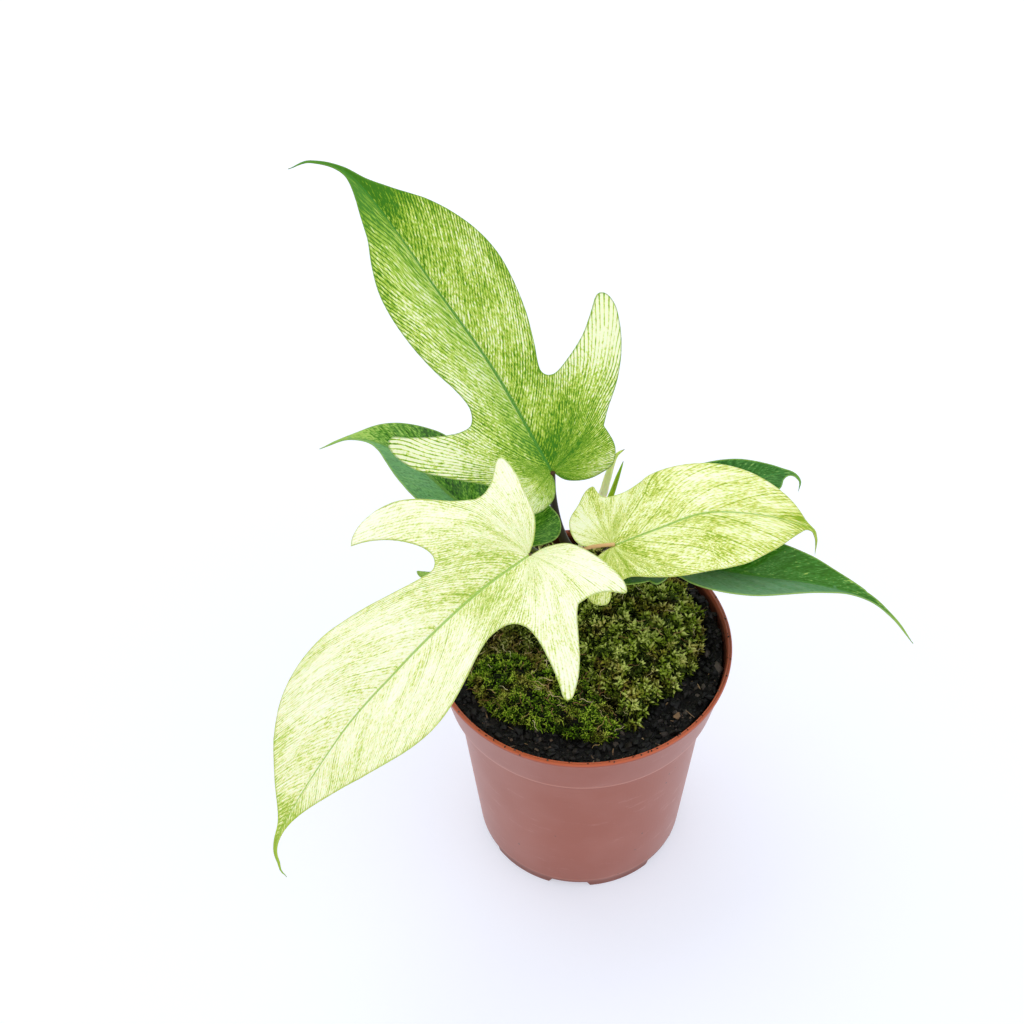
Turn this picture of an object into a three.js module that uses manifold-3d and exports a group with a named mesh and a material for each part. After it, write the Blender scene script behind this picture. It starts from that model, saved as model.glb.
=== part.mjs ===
// A young lobed philodendron in a round nursery pot, in millimetres, +Z up, standing on z = 0. Each leaf is a
// petiole and a bent blade, and moss cushions lie on the soil round the stem. Every size below is taken from the
// pot's axis, and the whole is then set over by POT_AXIS_X, so that the origin is under the middle of the part.
import * as THREE from "three";
import { mergeVertices } from "three/addons/utils/BufferGeometryUtils.js";
import Module from "manifold-3d";

const wasm = await Module();
wasm.setup();

// Driving dimensions
const POT_AXIS_X = -7;
const CLEARANCE = 0.3;
const POT = {
  height: 114,
  rimRadius: 60,
  rimWidth: 2.2,
  rimDepth: 1.8,
  rimOverhang: 0.7,
  collarHeight: 23.2,
  collarFootRadius: 55,
  bodyTopRadius: 51.5,
  bodyFootRadius: 43.2,
  footRadius: 42.5,
  footWidth: 2.4,
  footHeight: 4,
  edge: 0.4,
  draft: 0.6,
  wall: 1.3,
  floorTop: 5.2,
  innerStep: { top: 1.2, foot: -0.8 },
  sides: 72,
};
const NOTCH = { count: 6, firstAngle: -98, width: 17, height: 2.6, slope: 2 };
const DRAIN = { count: 6, firstAngle: -68, radius: 4, ringRadius: 27, sides: 16 };
const SOIL = {
  level: 106,
  swell: 0.9,
  swellX: 9,
  swellY: 11,
  swellStart: 0.6,
  room: 0.6,
  rings: 7,
  sides: 48,
};
const STEM = {
  route: [[4, 17, 80], [3.5, 24, 106], [2, 29, 118], [0, 34.5, 130]],
  footRadius: 4.8,
  topRadius: 3.4,
  tip: [[0.99, 2.6], [1, 1.8]],
  scars: 5,
  scarHeight: 0.5,
  scarReach: 0.03,
  scarsFrom: 0.52,
  scarsAlong: 0.4,
  sides: 16,
  steps: 40,
};
const MOSS = {
  rings: 5,
  sides: 28,
  edgeHeight: 1.2,
  edgeShare: 0.15,
  lumpHeight: 1.3,
  lumpX: 2.6,
  lumpY: 2.9,
};
const BLADE = { thickness: 0.7, grid: 7.5, midrib: 0.1 };
const STALK = { sides: 10, petioleSteps: 18, shootSteps: 20, shootTip: 0.2 };

const COLOURS = {
  pot: 0xa96a5c,
  soil: 0x1d1a18,
  olive: 0x5d6b22,
  green: 0x4f7a1e,
  dull: 0x6a6236,
  stem: 0x4d4a1f,
  petiole: 0x3a3315,
  pink: 0xc99a6e,
  red: 0x6b2f1c,
  mottled: 0x9fc95a,
  cream: 0xe9efb4,
  lime: 0xcfdc7e,
  dark: 0x2f6b2c,
  roll: 0xdfe59a,
  sheath: 0x7fae1c,
};

// Moss cushions: plan is the outline on the soil and height the crown over it.
const CUSHIONS = {
  olive: {
    colour: "olive",
    height: 10,
    plan: [[1, -4], [4, -17], [13, -28], [16, -38], [24, -30], [33, -22], [44, -9], [48.5, 8],
      [45, 27], [32, 41], [15, 50], [-2, 46], [-6, 31], [-6, 17], [-3, 5]],
  },
  green: {
    colour: "green",
    height: 9,
    plan: [[-3, -4], [-24, -2], [-43, -3], [-45, -14], [-38, -27], [-24, -36], [-11, -39.5],
      [1, -43.5], [12, -41], [10, -29], [1, -18]],
  },
  dull: {
    colour: "dull",
    height: 8,
    plan: [[-7, 1], [-9, 16], [-9, 31], [-6, 47], [-18, 48], [-31, 41], [-42, 29], [-47, 14],
      [-44, 1], [-24, 2]],
  },
};

/*
 * Leaves. rib is the midrib from the end of the petiole to the drip tip, sky the way the upper face looks, fold
 * the rise of each half beside the midrib in degrees, and droop how many degrees that rise loses in 10 mm.
 * left and right are the margins drawn flat, as [u, v]: u along the midrib from the end of the petiole, v across.
 * Each margin is a row of smooth stretches, which meet mostly in the bays between its lobes.
 * petiole is its route from the stem to just short of the blade, with its radius at both ends.
 */
const LEAVES = {
  a: {
    colour: "mottled",
    rib: [
      [-11, 44, 168],
      [-33, 70, 199],
      [-55, 90, 225],
      [-72, 106, 245],
      [-87, 118, 259],
      [-101, 120, 264],
      [-110, 116, 264],
    ],
    sky: [0.08, -0.26, 1],
    fold: 20.5,
    droop: 4.7,
    right: [
      [[0, 0], [-6, 3], [-10, 10], [-11, 17], [-10, 23], [-4, 27], [5, 27]],
      [[5, 27], [10, 32], [17, 40], [25.5, 47.7], [31.6, 52.3], [37.3, 55.4], [41.6, 56.9], [45.6, 56.5],
        [47.6, 54.2], [47.2, 51.1], [43.4, 45], [39.1, 37.8], [35, 28], [32, 19], [36, 15]],
      [[36, 15], [47, 19.4], [58, 23], [70, 27.5], [82, 28], [94, 27], [105, 22], [115, 16.5], [126, 9]],
      [[126, 9], [135, 3.5], [145, 1.6], [158, 1]],
    ],
    left: [
      [[0, 0], [-6, -2], [-10, -7], [-11, -15], [-8, -23], [-2, -26], [5, -26]],
      [[5, -26], [10, -30.5], [15.5, -37.5], [21.5, -44.7], [28.3, -51.2], [34, -54.4], [38.8, -56.2],
        [42.8, -56.9], [45.8, -56.4], [47.4, -55], [46.9, -52.6], [43.6, -49], [38.6, -41.7], [35, -35],
        [32.6, -28.5], [32, -23], [38, -19]],
      [[38, -19], [48, -21], [60, -24], [72, -26], [84, -26], [96, -24], [107, -19.5], [118, -13],
        [130, -7]],
      [[130, -7], [142, -3], [150, -1.4], [158, -1]],
    ],
    petiole: {
      colour: "petiole",
      route: [[0.5, 34, 125.5], [-2.6, 34.6, 128.8], [-5, 35.3, 132.8], [-7, 36.6, 138], [-9, 39, 145.5],
        [-10.6, 42, 156]],
      footRadius: 2.6,
      topRadius: 1.6,
    },
  },
  b: {
    colour: "cream",
    rib: [
      [-21, -10, 180],
      [-38, -24, 178.5],
      [-55, -40, 175],
      [-70, -55, 170],
      [-90, -76, 161],
      [-112, -107, 145.5],
      [-112.5, -117.5, 139],
      [-110, -120.5, 136],
    ],
    sky: [-0.73, -0.72, 1],
    fold: 22.3,
    droop: 9.2,
    right: [
      [[0, 0], [-6, 4], [-12, 11], [-16.1, 21.3], [-18.5, 27.8], [-20.2, 34.5], [-20.9, 39.7],
        [-19.9, 41.3], [-17.2, 40], [-13.3, 36.5], [-8.7, 32.7], [-3, 30.5], [1, 31]],
      [[1, 31], [7, 36], [12, 43], [16.5, 51], [20.3, 58.3], [24.6, 63.6], [30.5, 64.4], [36.4, 60.8],
        [40.6, 56]],
      [[40.6, 56], [36.8, 51.6], [32.9, 44], [29.3, 34.8], [27.1, 27.5], [27, 21.8], [30, 17]],
      [[30, 17], [38, 19], [47, 22], [57, 26], [68, 29], [79, 30.5], [90, 30.5], [101, 27], [113, 20]],
      [[113, 20], [125, 11], [136, 3], [144, 1.5], [151, 1]],
    ],
    left: [
      [[0, 0], [-7, -1.5], [-13, -6.5], [-16.3, -15.6], [-17.6, -23.5], [-17.7, -30.2], [-17.1, -35],
        [-15.9, -37.7], [-14.7, -38.5], [-13, -37.2], [-10.5, -34.7], [-7, -32.6], [-3, -31.4], [2, -31]],
      [[2, -31], [5, -34], [9, -39.5], [12.2, -43.5], [16.3, -47.9], [22, -52.4], [27.8, -56],
        [31.9, -57.9], [34.3, -57.3], [34.6, -55.4], [32.8, -52], [30.4, -47], [28, -41], [25.5, -34],
        [24, -27], [28, -21]],
      [[28, -21], [37, -20], [46, -22.5], [56, -26], [66, -29], [76, -30], [87, -29], [98, -26],
        [109, -20.5]],
      [[109, -20.5], [120, -13], [130, -6], [140, -1.8], [151, -1]],
    ],
    petiole: {
      colour: "petiole",
      route: [[2.3, 27.5, 115], [-0.7, 21, 125], [-5, 12, 139.5], [-10, 2, 157], [-17, -6, 173]],
      footRadius: 2.2,
      topRadius: 1.25,
    },
  },
  c: {
    colour: "lime",
    rib: [
      [11.5, 8, 163.5],
      [30, 11.5, 169.5],
      [48, 16.5, 172],
      [69.5, 16.5, 170],
      [87, 14.5, 165],
      [90.7, 12, 161.5],
      [90.5, 8, 155],
    ],
    sky: [0.06, 0.01, 1],
    fold: 7.7,
    droop: 5,
    right: [
      [[0, 0], [-6, 2.4], [-11, 7], [-14, 14], [-14.6, 19.5], [-13.6, 23.3], [-11.1, 25.6], [-8.5, 26.3],
        [-6.7, 24.9], [-5.6, 22]],
      [[-5.6, 22], [-3, 19.4], [3, 18.4], [11, 21.7], [20.4, 25.6], [31, 28.3], [42, 28.8], [53, 26],
        [61, 20.6], [66.8, 16], [71.8, 10.6], [77, 4]],
      [[77, 4], [82, 1.6], [87, 1]],
    ],
    left: [
      [[0, 0], [-5.5, -2.1], [-10.6, -4.4], [-12.8, -7.3], [-13.7, -10.9], [-13.9, -14.7], [-13.3, -18.3],
        [-11.8, -20.9], [-9.8, -22.8], [-7.4, -25.2], [-4.9, -28.8], [-2.3, -31.3], [-0.2, -31.5],
        [0.6, -28.1], [1.4, -25]],
      [[1.4, -25], [4, -22.9], [10.3, -22.6], [19.9, -24.6], [31, -25.4], [43, -25.1], [50.5, -23.6],
        [58, -20.6], [64.3, -16.4], [70.5, -10.9], [78, -3]],
      [[78, -3], [82, -1.4], [87, -1]],
    ],
    petiole: {
      colour: "pink",
      route: [[1.5, 30, 121], [-0.8, 24, 133], [-2.5, 16, 149.5], [0.8, 10.6, 159], [6, 8.9, 162.5]],
      footRadius: 2.1,
      topRadius: 1,
    },
  },
  d: {
    colour: "dark",
    rib: [
      [-28, 21, 151.5],
      [-50, 41, 156.5],
      [-62, 55, 157.5],
      [-78, 72, 155],
      [-93, 80, 151],
      [-106, 80, 145],
    ],
    sky: [-0.1, -0.1, 1],
    fold: 15,
    droop: 5,
    right: [
      [[0, 0], [-5, 2], [-10, 6.5], [-13, 12], [-12, 17], [-7, 21], [2, 22]],
      [[2, 22], [7, 27.5], [13, 33], [20, 37], [27, 38]],
      [[27, 38], [27, 33], [24, 26], [21, 20], [24, 15]],
      [[24, 15], [33, 16], [44, 17.5], [54, 17], [62, 15], [70, 12], [78, 8], [86, 3.5], [93, 1.4],
        [98, 1]],
    ],
    left: [
      [[0, 0], [-5, -2], [-10, -6.5], [-12, -12], [-11, -17], [-7, -20.5], [1, -21]],
      [[1, -21], [4.2, -26], [8, -31], [12, -35.2], [15, -36.5], [17.1, -35.6], [15.4, -34], [13, -31.8],
        [11.4, -28.3], [11.2, -23.5], [14, -17.6], [21, -12.5]],
      [[21, -12.5], [33, -12], [44, -12.2], [54, -10.5], [64, -7.5], [73, -4], [81, -1.8], [90, -1.1],
        [98, -1]],
    ],
    petiole: {
      colour: "petiole",
      route: [[2.5, 26.5, 111.5], [-5, 28, 120.5], [-15, 27, 136], [-24, 23, 148.5]],
      footRadius: 2,
      topRadius: 1.1,
    },
  },
  e: {
    colour: "dark",
    rib: [
      [20, 4, 154.5],
      [45, 0, 159],
      [64, -3, 157.5],
      [89, -2.5, 150.7],
      [110, -3, 142],
      [121, -7.5, 135],
      [129, -14.5, 127],
    ],
    sky: [0, 0, 1],
    fold: 25,
    droop: 5,
    right: [
      [[0, 0], [-5, 2.5], [-8.5, 7.5], [-7.5, 11.3], [-3, 12.6], [2, 12.9], [5.4, 12.8], [8, 11.6]],
      [[8, 11.6], [9.4, 13], [11.3, 13.4], [13.4, 11.2], [14.8, 8.4], [17, 7]],
      [[17, 7], [20, 9.2], [23.6, 12.4], [29, 15.4], [36, 17.1], [46, 16.5], [57.5, 13], [67, 9.5], [76, 6],
        [86, 2.5], [100, 1.4], [114, 1]],
    ],
    left: [
      [[0, 0], [-6, -3], [-10, -9], [-9, -14], [-3, -15]],
      [[-3, -15], [5, -14], [12, -12.2], [19, -11]],
      [[19, -11], [27, -14.5], [36, -17.5], [46, -17.5], [58, -14.5], [70, -11], [82, -6.5], [93, -3]],
      [[93, -3], [103, -1.5], [114, -1]],
    ],
    petiole: {
      colour: "red",
      route: [[4, 27, 114], [9.5, 20, 126.5], [15, 10, 142.5]],
      footRadius: 2.1,
      topRadius: 1.1,
    },
  },
  f: {
    colour: "dark",
    rib: [
      [24, 32, 151],
      [44, 40.5, 155.5],
      [67, 47.5, 155.5],
      [84, 55, 151.5],
      [90, 55, 147],
      [89.5, 52, 143],
    ],
    sky: [-0.1, -0.3, 1],
    fold: 15,
    droop: 5,
    right: [
      [[0, 0], [-4, 2], [-7, 6], [-7, 10], [-2, 11.5]],
      [[-2, 11.5], [4, 10.5], [9, 9]],
      [[9, 9], [17, 11], [27, 13], [37, 13], [46, 12], [53, 9.9], [58.6, 7.4], [63, 4], [68, 1.8], [74, 1]],
    ],
    left: [
      [[0, 0], [-4, -2], [-7, -6], [-7, -10], [-2, -11]],
      [[-2, -11], [4, -9.6], [9, -8.6]],
      [[9, -8.6], [17, -9.9], [27, -11], [35, -11], [41, -10.5], [47, -9.4], [53, -7.4], [60, -4.3],
        [67, -1.9], [74, -1]],
    ],
    petiole: {
      colour: "red",
      route: [[2, 30.5, 119], [9, 31, 129.5], [18, 31, 144]],
      footRadius: 2,
      topRadius: 1.1,
    },
  },
};

// The new leaf, still rolled up, and the cataphyll that sheathed it: route and [share of length, radius] profile.
const SHOOTS = {
  new_leaf: {
    colour: "roll",
    route: [[0.5, 35.4, 130.9], [5, 42, 140], [9.5, 47.5, 147.5], [11.8, 50.5, 155.5], [13.8, 52.5, 162.3],
      [15.6, 53.5, 166.2], [18.3, 53, 169.6]],
    profile: [[0, 1.2], [0.1, 1.7], [0.5, 2], [0.7, 1.7], [0.85, 1.1], [0.95, 0.6]],
  },
  cataphyll: {
    colour: "sheath",
    route: [[4, 37, 131], [8.5, 43.5, 138.5], [13, 49.5, 145], [15.8, 53, 152.5], [18.3, 56, 159.5]],
    profile: [[0, 1], [0.1, 1.4], [0.5, 1.4], [0.8, 0.9], [0.95, 0.4]],
  },
};

const radians = THREE.MathUtils.degToRad;
const vector = ([x, y, z]) => new THREE.Vector3(x, y, z);
const spaceCurve = (route) => new THREE.CatmullRomCurve3(route.map(vector), false, "catmullrom");

/** The closed geometry's solid, with its shared vertices merged. */
function toSolid(geometry) {
  const bare = new THREE.BufferGeometry();
  bare.setAttribute("position", geometry.getAttribute("position").clone());
  bare.setIndex(geometry.index);
  const merged = mergeVertices(bare, 1e-4);
  const vertProperties = new Float32Array(merged.getAttribute("position").array);
  const triVerts = new Uint32Array(merged.index.array);
  return new wasm.Manifold(new wasm.Mesh({ numProp: 3, vertProperties, triVerts }));
}

/** The geometry of a solid's largest body. */
function toGeometry(solid) {
  const [body] = solid.decompose().sort((a, b) => b.volume() - a.volume());
  const { vertProperties, triVerts } = body.getMesh();
  const geometry = new THREE.BufferGeometry();
  geometry.setAttribute("position", new THREE.BufferAttribute(vertProperties, 3));
  geometry.setIndex(new THREE.BufferAttribute(triVerts, 1));
  return geometry;
}

/** A lathed solid about the Z axis. Its profile of [radius, z] goes round anticlockwise, from axis to axis. */
function latheZ(profile, sides) {
  const points = profile.map(([radius, z]) => new THREE.Vector2(radius, z));
  return new THREE.LatheGeometry(points, sides).rotateX(Math.PI / 2);
}

/** Moves every vertex of a geometry to where place puts it. */
function reshape(geometry, place) {
  const position = geometry.getAttribute("position");
  const vertex = new THREE.Vector3();
  for (let i = 0; i < position.count; i++) {
    place(vertex.fromBufferAttribute(position, i));
    position.setXYZ(i, vertex.x, vertex.y, vertex.z);
  }
  return geometry;
}

/** A round stalk along a route, with the radius that a profile of [share of the length, radius] gives. */
function stalk(route, profile, sides, steps) {
  const curve = spaceCurve(route);
  const rows = [];
  for (let step = 0; step <= steps; step++) {
    const share = step / steps;
    const next = Math.max(1, profile.findIndex(([at]) => at >= share));
    const [[from, r0], [to, r1]] = [profile[next - 1], profile[next]];
    rows.push([THREE.MathUtils.mapLinear(share, from, to, r0, r1), share]);
  }
  const across = new THREE.Vector3(1, -1, 0).normalize();
  return reshape(latheZ([[0, 0], ...rows, [0, 1]], sides), (vertex) => {
    const share = THREE.MathUtils.clamp(vertex.z, 0, 1);
    const forward = curve.getTangentAt(share);
    const side = across.clone().cross(forward).normalize();
    const front = forward.clone().cross(side);
    const centre = curve.getPointAt(share);
    vertex.set(...centre.addScaledVector(side, vertex.x).addScaledVector(front, vertex.y).toArray());
  });
}

/** A bent blade: at(u, v, lift) is a point over its middle face, with u along the midrib and v across it. */
class BladeForm {
  constructor({ rib, sky, fold, droop }) {
    this.curve = spaceCurve(rib);
    this.length = this.curve.getLength();
    this.sky = vector(sky);
    this.fold = radians(fold);
    this.bend = radians(droop) / 10;
  }

  at(u, v, lift) {
    const share = THREE.MathUtils.clamp(u / this.length, 0, 1);
    const along = this.curve.getTangentAt(share);
    const across = along.clone().cross(this.sky).normalize();
    const up = across.clone().cross(along);
    const slope = this.fold - this.bend * Math.abs(v);
    const reach = (Math.sin(this.fold) - Math.sin(slope)) / this.bend - lift * Math.sin(slope);
    const rise = (Math.cos(slope) - Math.cos(this.fold)) / this.bend + lift * Math.cos(slope);
    const onMidrib = Math.abs(v) < BLADE.midrib;
    return this.curve
      .getPointAt(share)
      .addScaledVector(along, u - share * this.length)
      .addScaledVector(across, onMidrib ? 0 : Math.sign(v) * reach)
      .addScaledVector(up, onMidrib ? lift : rise);
  }
}

/** The flat outline of a blade: out along the left margin to the tip and back along the right one. */
function bladeOutline(leaf, length) {
  const margin = (stretches) =>
    stretches.flatMap((stretch) => {
      const curve = new THREE.SplineCurve(stretch.map(([u, v]) => new THREE.Vector2(u, v)));
      return curve.getPoints(2 * (stretch.length - 1)).slice(1);
    });
  const tip = new THREE.Vector2(length, 0);
  return [new THREE.Vector2(0, 0), ...margin(leaf.left), tip, ...margin(leaf.right).reverse()];
}

function isInside(point, outline) {
  let inside = false;
  outline.forEach((a, i) => {
    const b = outline[(i + 1) % outline.length];
    const crosses = a.y > point.y !== b.y > point.y;
    if (crosses && point.x < a.x + ((b.x - a.x) * (point.y - a.y)) / (b.y - a.y)) inside = !inside;
  });
  return inside;
}

/**
 * Points of a triangular grid inside an outline and clear of it, with a row of them on the midrib. The rows waver
 * by less than the midrib's reach, so that no three points lie on one line.
 */
function innerPoints(outline, grid) {
  const box = new THREE.Box2().setFromPoints(outline);
  const rowHeight = (grid * Math.sqrt(3)) / 2;
  const points = [];
  const lastRow = Math.ceil(Math.max(-box.min.y, box.max.y) / rowHeight);
  for (let row = -lastRow; row <= lastRow; row++) {
    const offset = row % 2 === 0 ? 0 : grid / 2;
    for (let u = box.min.x - offset; u < box.max.x; u += grid) {
      const point = new THREE.Vector2(u, row * rowHeight + 0.5 * BLADE.midrib * Math.sin(u + row));
      if (!isInside(point, outline)) continue;
      const isClear = outline.every((corner, i) => {
        const middle = corner.clone().lerp(outline[(i + 1) % outline.length], 0.5);
        return point.distanceTo(corner) > 0.5 * grid && point.distanceTo(middle) > 0.4 * grid;
      });
      if (isClear) points.push(point);
    }
  }
  return points;
}

/** Whether d lies in the circle through the anticlockwise corners a, b and c. */
function inCircle(a, b, c, d) {
  const [p, q, r] = [a, b, c].map((corner) => corner.clone().sub(d));
  const [pp, qq, rr] = [p, q, r].map((offset) => offset.lengthSq());
  return pp * q.cross(r) - qq * p.cross(r) + rr * p.cross(q) > 1e-6;
}

/** Triangles over an outline and the points inside it, with diagonals swapped until each circle is empty. */
function triangulate(outline, inner) {
  const points = [...outline, ...inner];
  const faces = THREE.ShapeUtils.triangulateShape(outline, inner.map((point) => [point]));
  for (let swaps = 1; swaps > 0; ) {
    swaps = 0;
    const owners = new Map();
    faces.forEach((face, index) => face.forEach((a, k) => owners.set(`${a},${face[(k + 1) % 3]}`, index)));
    const changed = new Set();
    faces.forEach((face, index) => {
      for (let k = 0; k < 3 && !changed.has(index); k++) {
        const [a, b, c] = [face[k], face[(k + 1) % 3], face[(k + 2) % 3]];
        const other = owners.get(`${b},${a}`);
        if (other === undefined || changed.has(other)) continue;
        const d = faces[other].find((corner) => corner !== a && corner !== b);
        if (!inCircle(points[a], points[b], points[c], points[d])) continue;
        faces[index] = [a, d, c];
        faces[other] = [d, b, c];
        changed.add(index).add(other);
        swaps++;
      }
    });
  }
  return { points, faces };
}

/** A closed anticlockwise outline with every corner moved outwards. */
function grown(outline, margin) {
  return outline.map((corner, i) => {
    const before = outline.at(i - 1);
    const after = outline[(i + 1) % outline.length];
    const along = after.clone().sub(before).normalize();
    return new THREE.Vector2(corner.x + margin * along.y, corner.y - margin * along.x);
  });
}

/** The blade's closed geometry, or with a margin the room it takes: two like faces with a strip round them. */
function bladeGeometry(leaf, margin) {
  const form = new BladeForm(leaf);
  const thickness = BLADE.thickness + 2 * margin;
  const outline = grown(bladeOutline(leaf, form.length), margin);
  const { points, faces } = triangulate(outline, innerPoints(outline, BLADE.grid));
  const lower = points.length;
  const face = (lift) => points.map(({ x, y }) => form.at(x, y, lift));
  const vertices = [...face(thickness / 2), ...face(-thickness / 2)];
  const index = faces.flatMap(([a, b, c]) => [a, c, b, lower + a, lower + b, lower + c]);
  outline.forEach((_, a) => {
    const b = (a + 1) % outline.length;
    index.push(a, b, lower + b, a, lower + b, lower + a);
  });
  return new THREE.BufferGeometry().setFromPoints(vertices).setIndex(index);
}

function soilHeight(x, y) {
  return SOIL.level + SOIL.swell * Math.sin(x / SOIL.swellX + SOIL.swellStart) * Math.cos(y / SOIL.swellY);
}

const pottedPlant = new THREE.Group();
pottedPlant.name = "potted_florida_ghost_philodendron";
pottedPlant.position.x = POT_AXIS_X;

function addPiece(name, geometry, colour, roughness = 0.6) {
  const material = new THREE.MeshStandardMaterial({ color: COLOURS[colour], roughness, metalness: 0 });
  const mesh = new THREE.Mesh(geometry, material);
  mesh.name = name;
  pottedPlant.add(mesh);
}

/** The pot: one thin moulding, cut through at the foot notches and the drainage holes. */
function potGeometry() {
  const collarFoot = POT.height - POT.collarHeight;
  const { edge, draft, wall } = POT;
  const outside = [
    [POT.footRadius - POT.footWidth, 0],
    [POT.footRadius - edge, 0],
    [POT.footRadius, edge],
    [POT.footRadius, POT.footHeight - draft],
    [POT.bodyFootRadius, POT.footHeight],
    [POT.bodyTopRadius, collarFoot],
    [POT.collarFootRadius - edge, collarFoot],
    [POT.collarFootRadius, collarFoot + edge],
    [POT.rimRadius - POT.rimOverhang, POT.height - POT.rimDepth],
    [POT.rimRadius, POT.height - POT.rimDepth + edge],
    [POT.rimRadius, POT.height - edge],
    [POT.rimRadius - edge, POT.height],
  ];
  const inside = [
    [POT.rimRadius - POT.rimWidth, POT.height],
    [POT.rimRadius - POT.rimWidth - edge, POT.height - POT.rimDepth],
    [POT.collarFootRadius - wall, collarFoot + POT.innerStep.top],
    [POT.bodyTopRadius - wall, collarFoot + POT.innerStep.foot],
    [POT.bodyFootRadius - wall, POT.floorTop],
    [0, POT.floorTop],
    [0, POT.floorTop - wall],
    [POT.footRadius - POT.footWidth - draft, POT.floorTop - wall],
  ];
  let pot = toSolid(latheZ([...outside, ...inside, outside[0]], POT.sides));
  const cutRound = (cutter, { count, firstAngle }) => {
    for (let i = 0; i < count; i++) {
      const turned = cutter.clone().rotateZ(radians(firstAngle + (i * 360) / count));
      pot = pot.subtract(toSolid(turned));
    }
  };
  const below = -1;
  const notch = new THREE.Shape([
    new THREE.Vector2(-NOTCH.width / 2 - NOTCH.slope, below),
    new THREE.Vector2(NOTCH.width / 2 + NOTCH.slope, below),
    new THREE.Vector2(NOTCH.width / 2, NOTCH.height),
    new THREE.Vector2(-NOTCH.width / 2, NOTCH.height),
  ]);
  const notchDepth = 3 * POT.footWidth;
  const notchCutter = new THREE.ExtrudeGeometry(notch, { depth: notchDepth, bevelEnabled: false })
    .rotateX(Math.PI / 2)
    .rotateZ(Math.PI / 2)
    .translate(POT.footRadius - 2 * POT.footWidth, 0, 0);
  cutRound(notchCutter, NOTCH);
  const drainCutter = new THREE.CylinderGeometry(DRAIN.radius, DRAIN.radius, 3 * wall, DRAIN.sides)
    .rotateX(Math.PI / 2)
    .translate(DRAIN.ringRadius, 0, POT.floorTop - wall / 2);
  cutRound(drainCutter, DRAIN);
  return toGeometry(pot);
}

const stemProfile = [[0, STEM.footRadius]];
for (let scar = 1; scar <= STEM.scars; scar++) {
  const share = STEM.scarsFrom + (STEM.scarsAlong * scar) / STEM.scars;
  const radius = THREE.MathUtils.lerp(STEM.footRadius, STEM.topRadius, share);
  stemProfile.push([share - STEM.scarReach, radius]);
  stemProfile.push([share, radius + STEM.scarHeight]);
  stemProfile.push([share + STEM.scarReach, radius]);
}
stemProfile.push(...STEM.tip);

/** The stem, or with a margin the room that its neighbours leave for it. */
function stemGeometry(margin) {
  const profile = stemProfile.map(([share, radius]) => [share, radius + margin]);
  return stalk(STEM.route, profile, STEM.sides, STEM.steps);
}
const stemRoom = toSolid(stemGeometry(CLEARANCE));

/** The soil: it fills the pot, with an uneven top and a plain hole for the stem. */
function soilGeometry() {
  const collarFoot = POT.height - POT.collarHeight;
  const gap = POT.wall + CLEARANCE;
  const collarSlope = (POT.rimRadius - POT.rimOverhang - POT.collarFootRadius) / POT.collarHeight;
  const topRadius = POT.collarFootRadius - gap + collarSlope * (SOIL.level - collarFoot) - SOIL.room;
  const top = [];
  for (let ring = 0; ring < SOIL.rings; ring++) top.push([topRadius * (1 - ring / SOIL.rings), SOIL.level]);
  const profile = [
    [0, POT.floorTop + CLEARANCE],
    [POT.bodyFootRadius - gap, POT.floorTop + CLEARANCE],
    [POT.bodyTopRadius - gap, collarFoot + POT.innerStep.foot],
    [POT.collarFootRadius - gap, collarFoot + POT.innerStep.top + SOIL.room],
    ...top,
    [0, SOIL.level],
  ];
  const soil = reshape(latheZ(profile, SOIL.sides), (vertex) => {
    if (vertex.z > SOIL.level - SOIL.swell) vertex.z = soilHeight(vertex.x, vertex.y);
  });
  return toGeometry(toSolid(soil).subtract(stemRoom));
}

/** A moss cushion: a lumpy dome over its plan on the soil, with a plain hole where the stem comes through. */
function cushionGeometry({ plan, height }) {
  const outline = new THREE.CatmullRomCurve3(plan.map(([x, y]) => new THREE.Vector3(x, y, 0)), true);
  const centre = plan.reduce((sum, [x, y]) => sum.add(new THREE.Vector3(x, y, 0)), new THREE.Vector3());
  centre.divideScalar(plan.length);
  const rings = Array.from({ length: MOSS.rings }, (_, ring) => (ring + 1) / MOSS.rings);
  const profile = [[0, 0], ...rings.map((r) => [r, 0]), ...rings.map((r) => [r, 1]).reverse(), [0, 1]];
  profile[MOSS.rings + 1][1] = MOSS.edgeShare;
  const dome = reshape(latheZ(profile, MOSS.sides), (vertex) => {
    const reach = Math.hypot(vertex.x, vertex.y);
    const turn = (Math.atan2(vertex.y, vertex.x) / (2 * Math.PI) + 1) % 1;
    const edge = outline.getPoint(turn);
    const { x, y } = centre.clone().lerp(edge, reach);
    const crown = height * (1 - reach ** 3) + MOSS.edgeHeight;
    const wave = Math.sin(x / MOSS.lumpX + 1) * Math.cos(y / MOSS.lumpY);
    const lumps = MOSS.lumpHeight * wave * (1 - reach ** 4);
    vertex.set(x, y, soilHeight(x, y) + CLEARANCE + vertex.z * (crown + lumps));
  });
  return toGeometry(toSolid(dome).subtract(stemRoom));
}

/** A petiole: it clasps the stem with its foot and ends under the blade, just clear of both. */
function petioleGeometry(leaf) {
  const { route, footRadius, topRadius } = leaf.petiole;
  const profile = [[0, footRadius], [0.3, (footRadius + topRadius) / 2], [0.6, topRadius], [1, topRadius]];
  const petiole = toSolid(stalk([...route, leaf.rib[0]], profile, STALK.sides, STALK.petioleSteps));
  const bladeRoom = toSolid(bladeGeometry(leaf, CLEARANCE));
  return toGeometry(petiole.subtract(stemRoom).subtract(bladeRoom));
}

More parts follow.
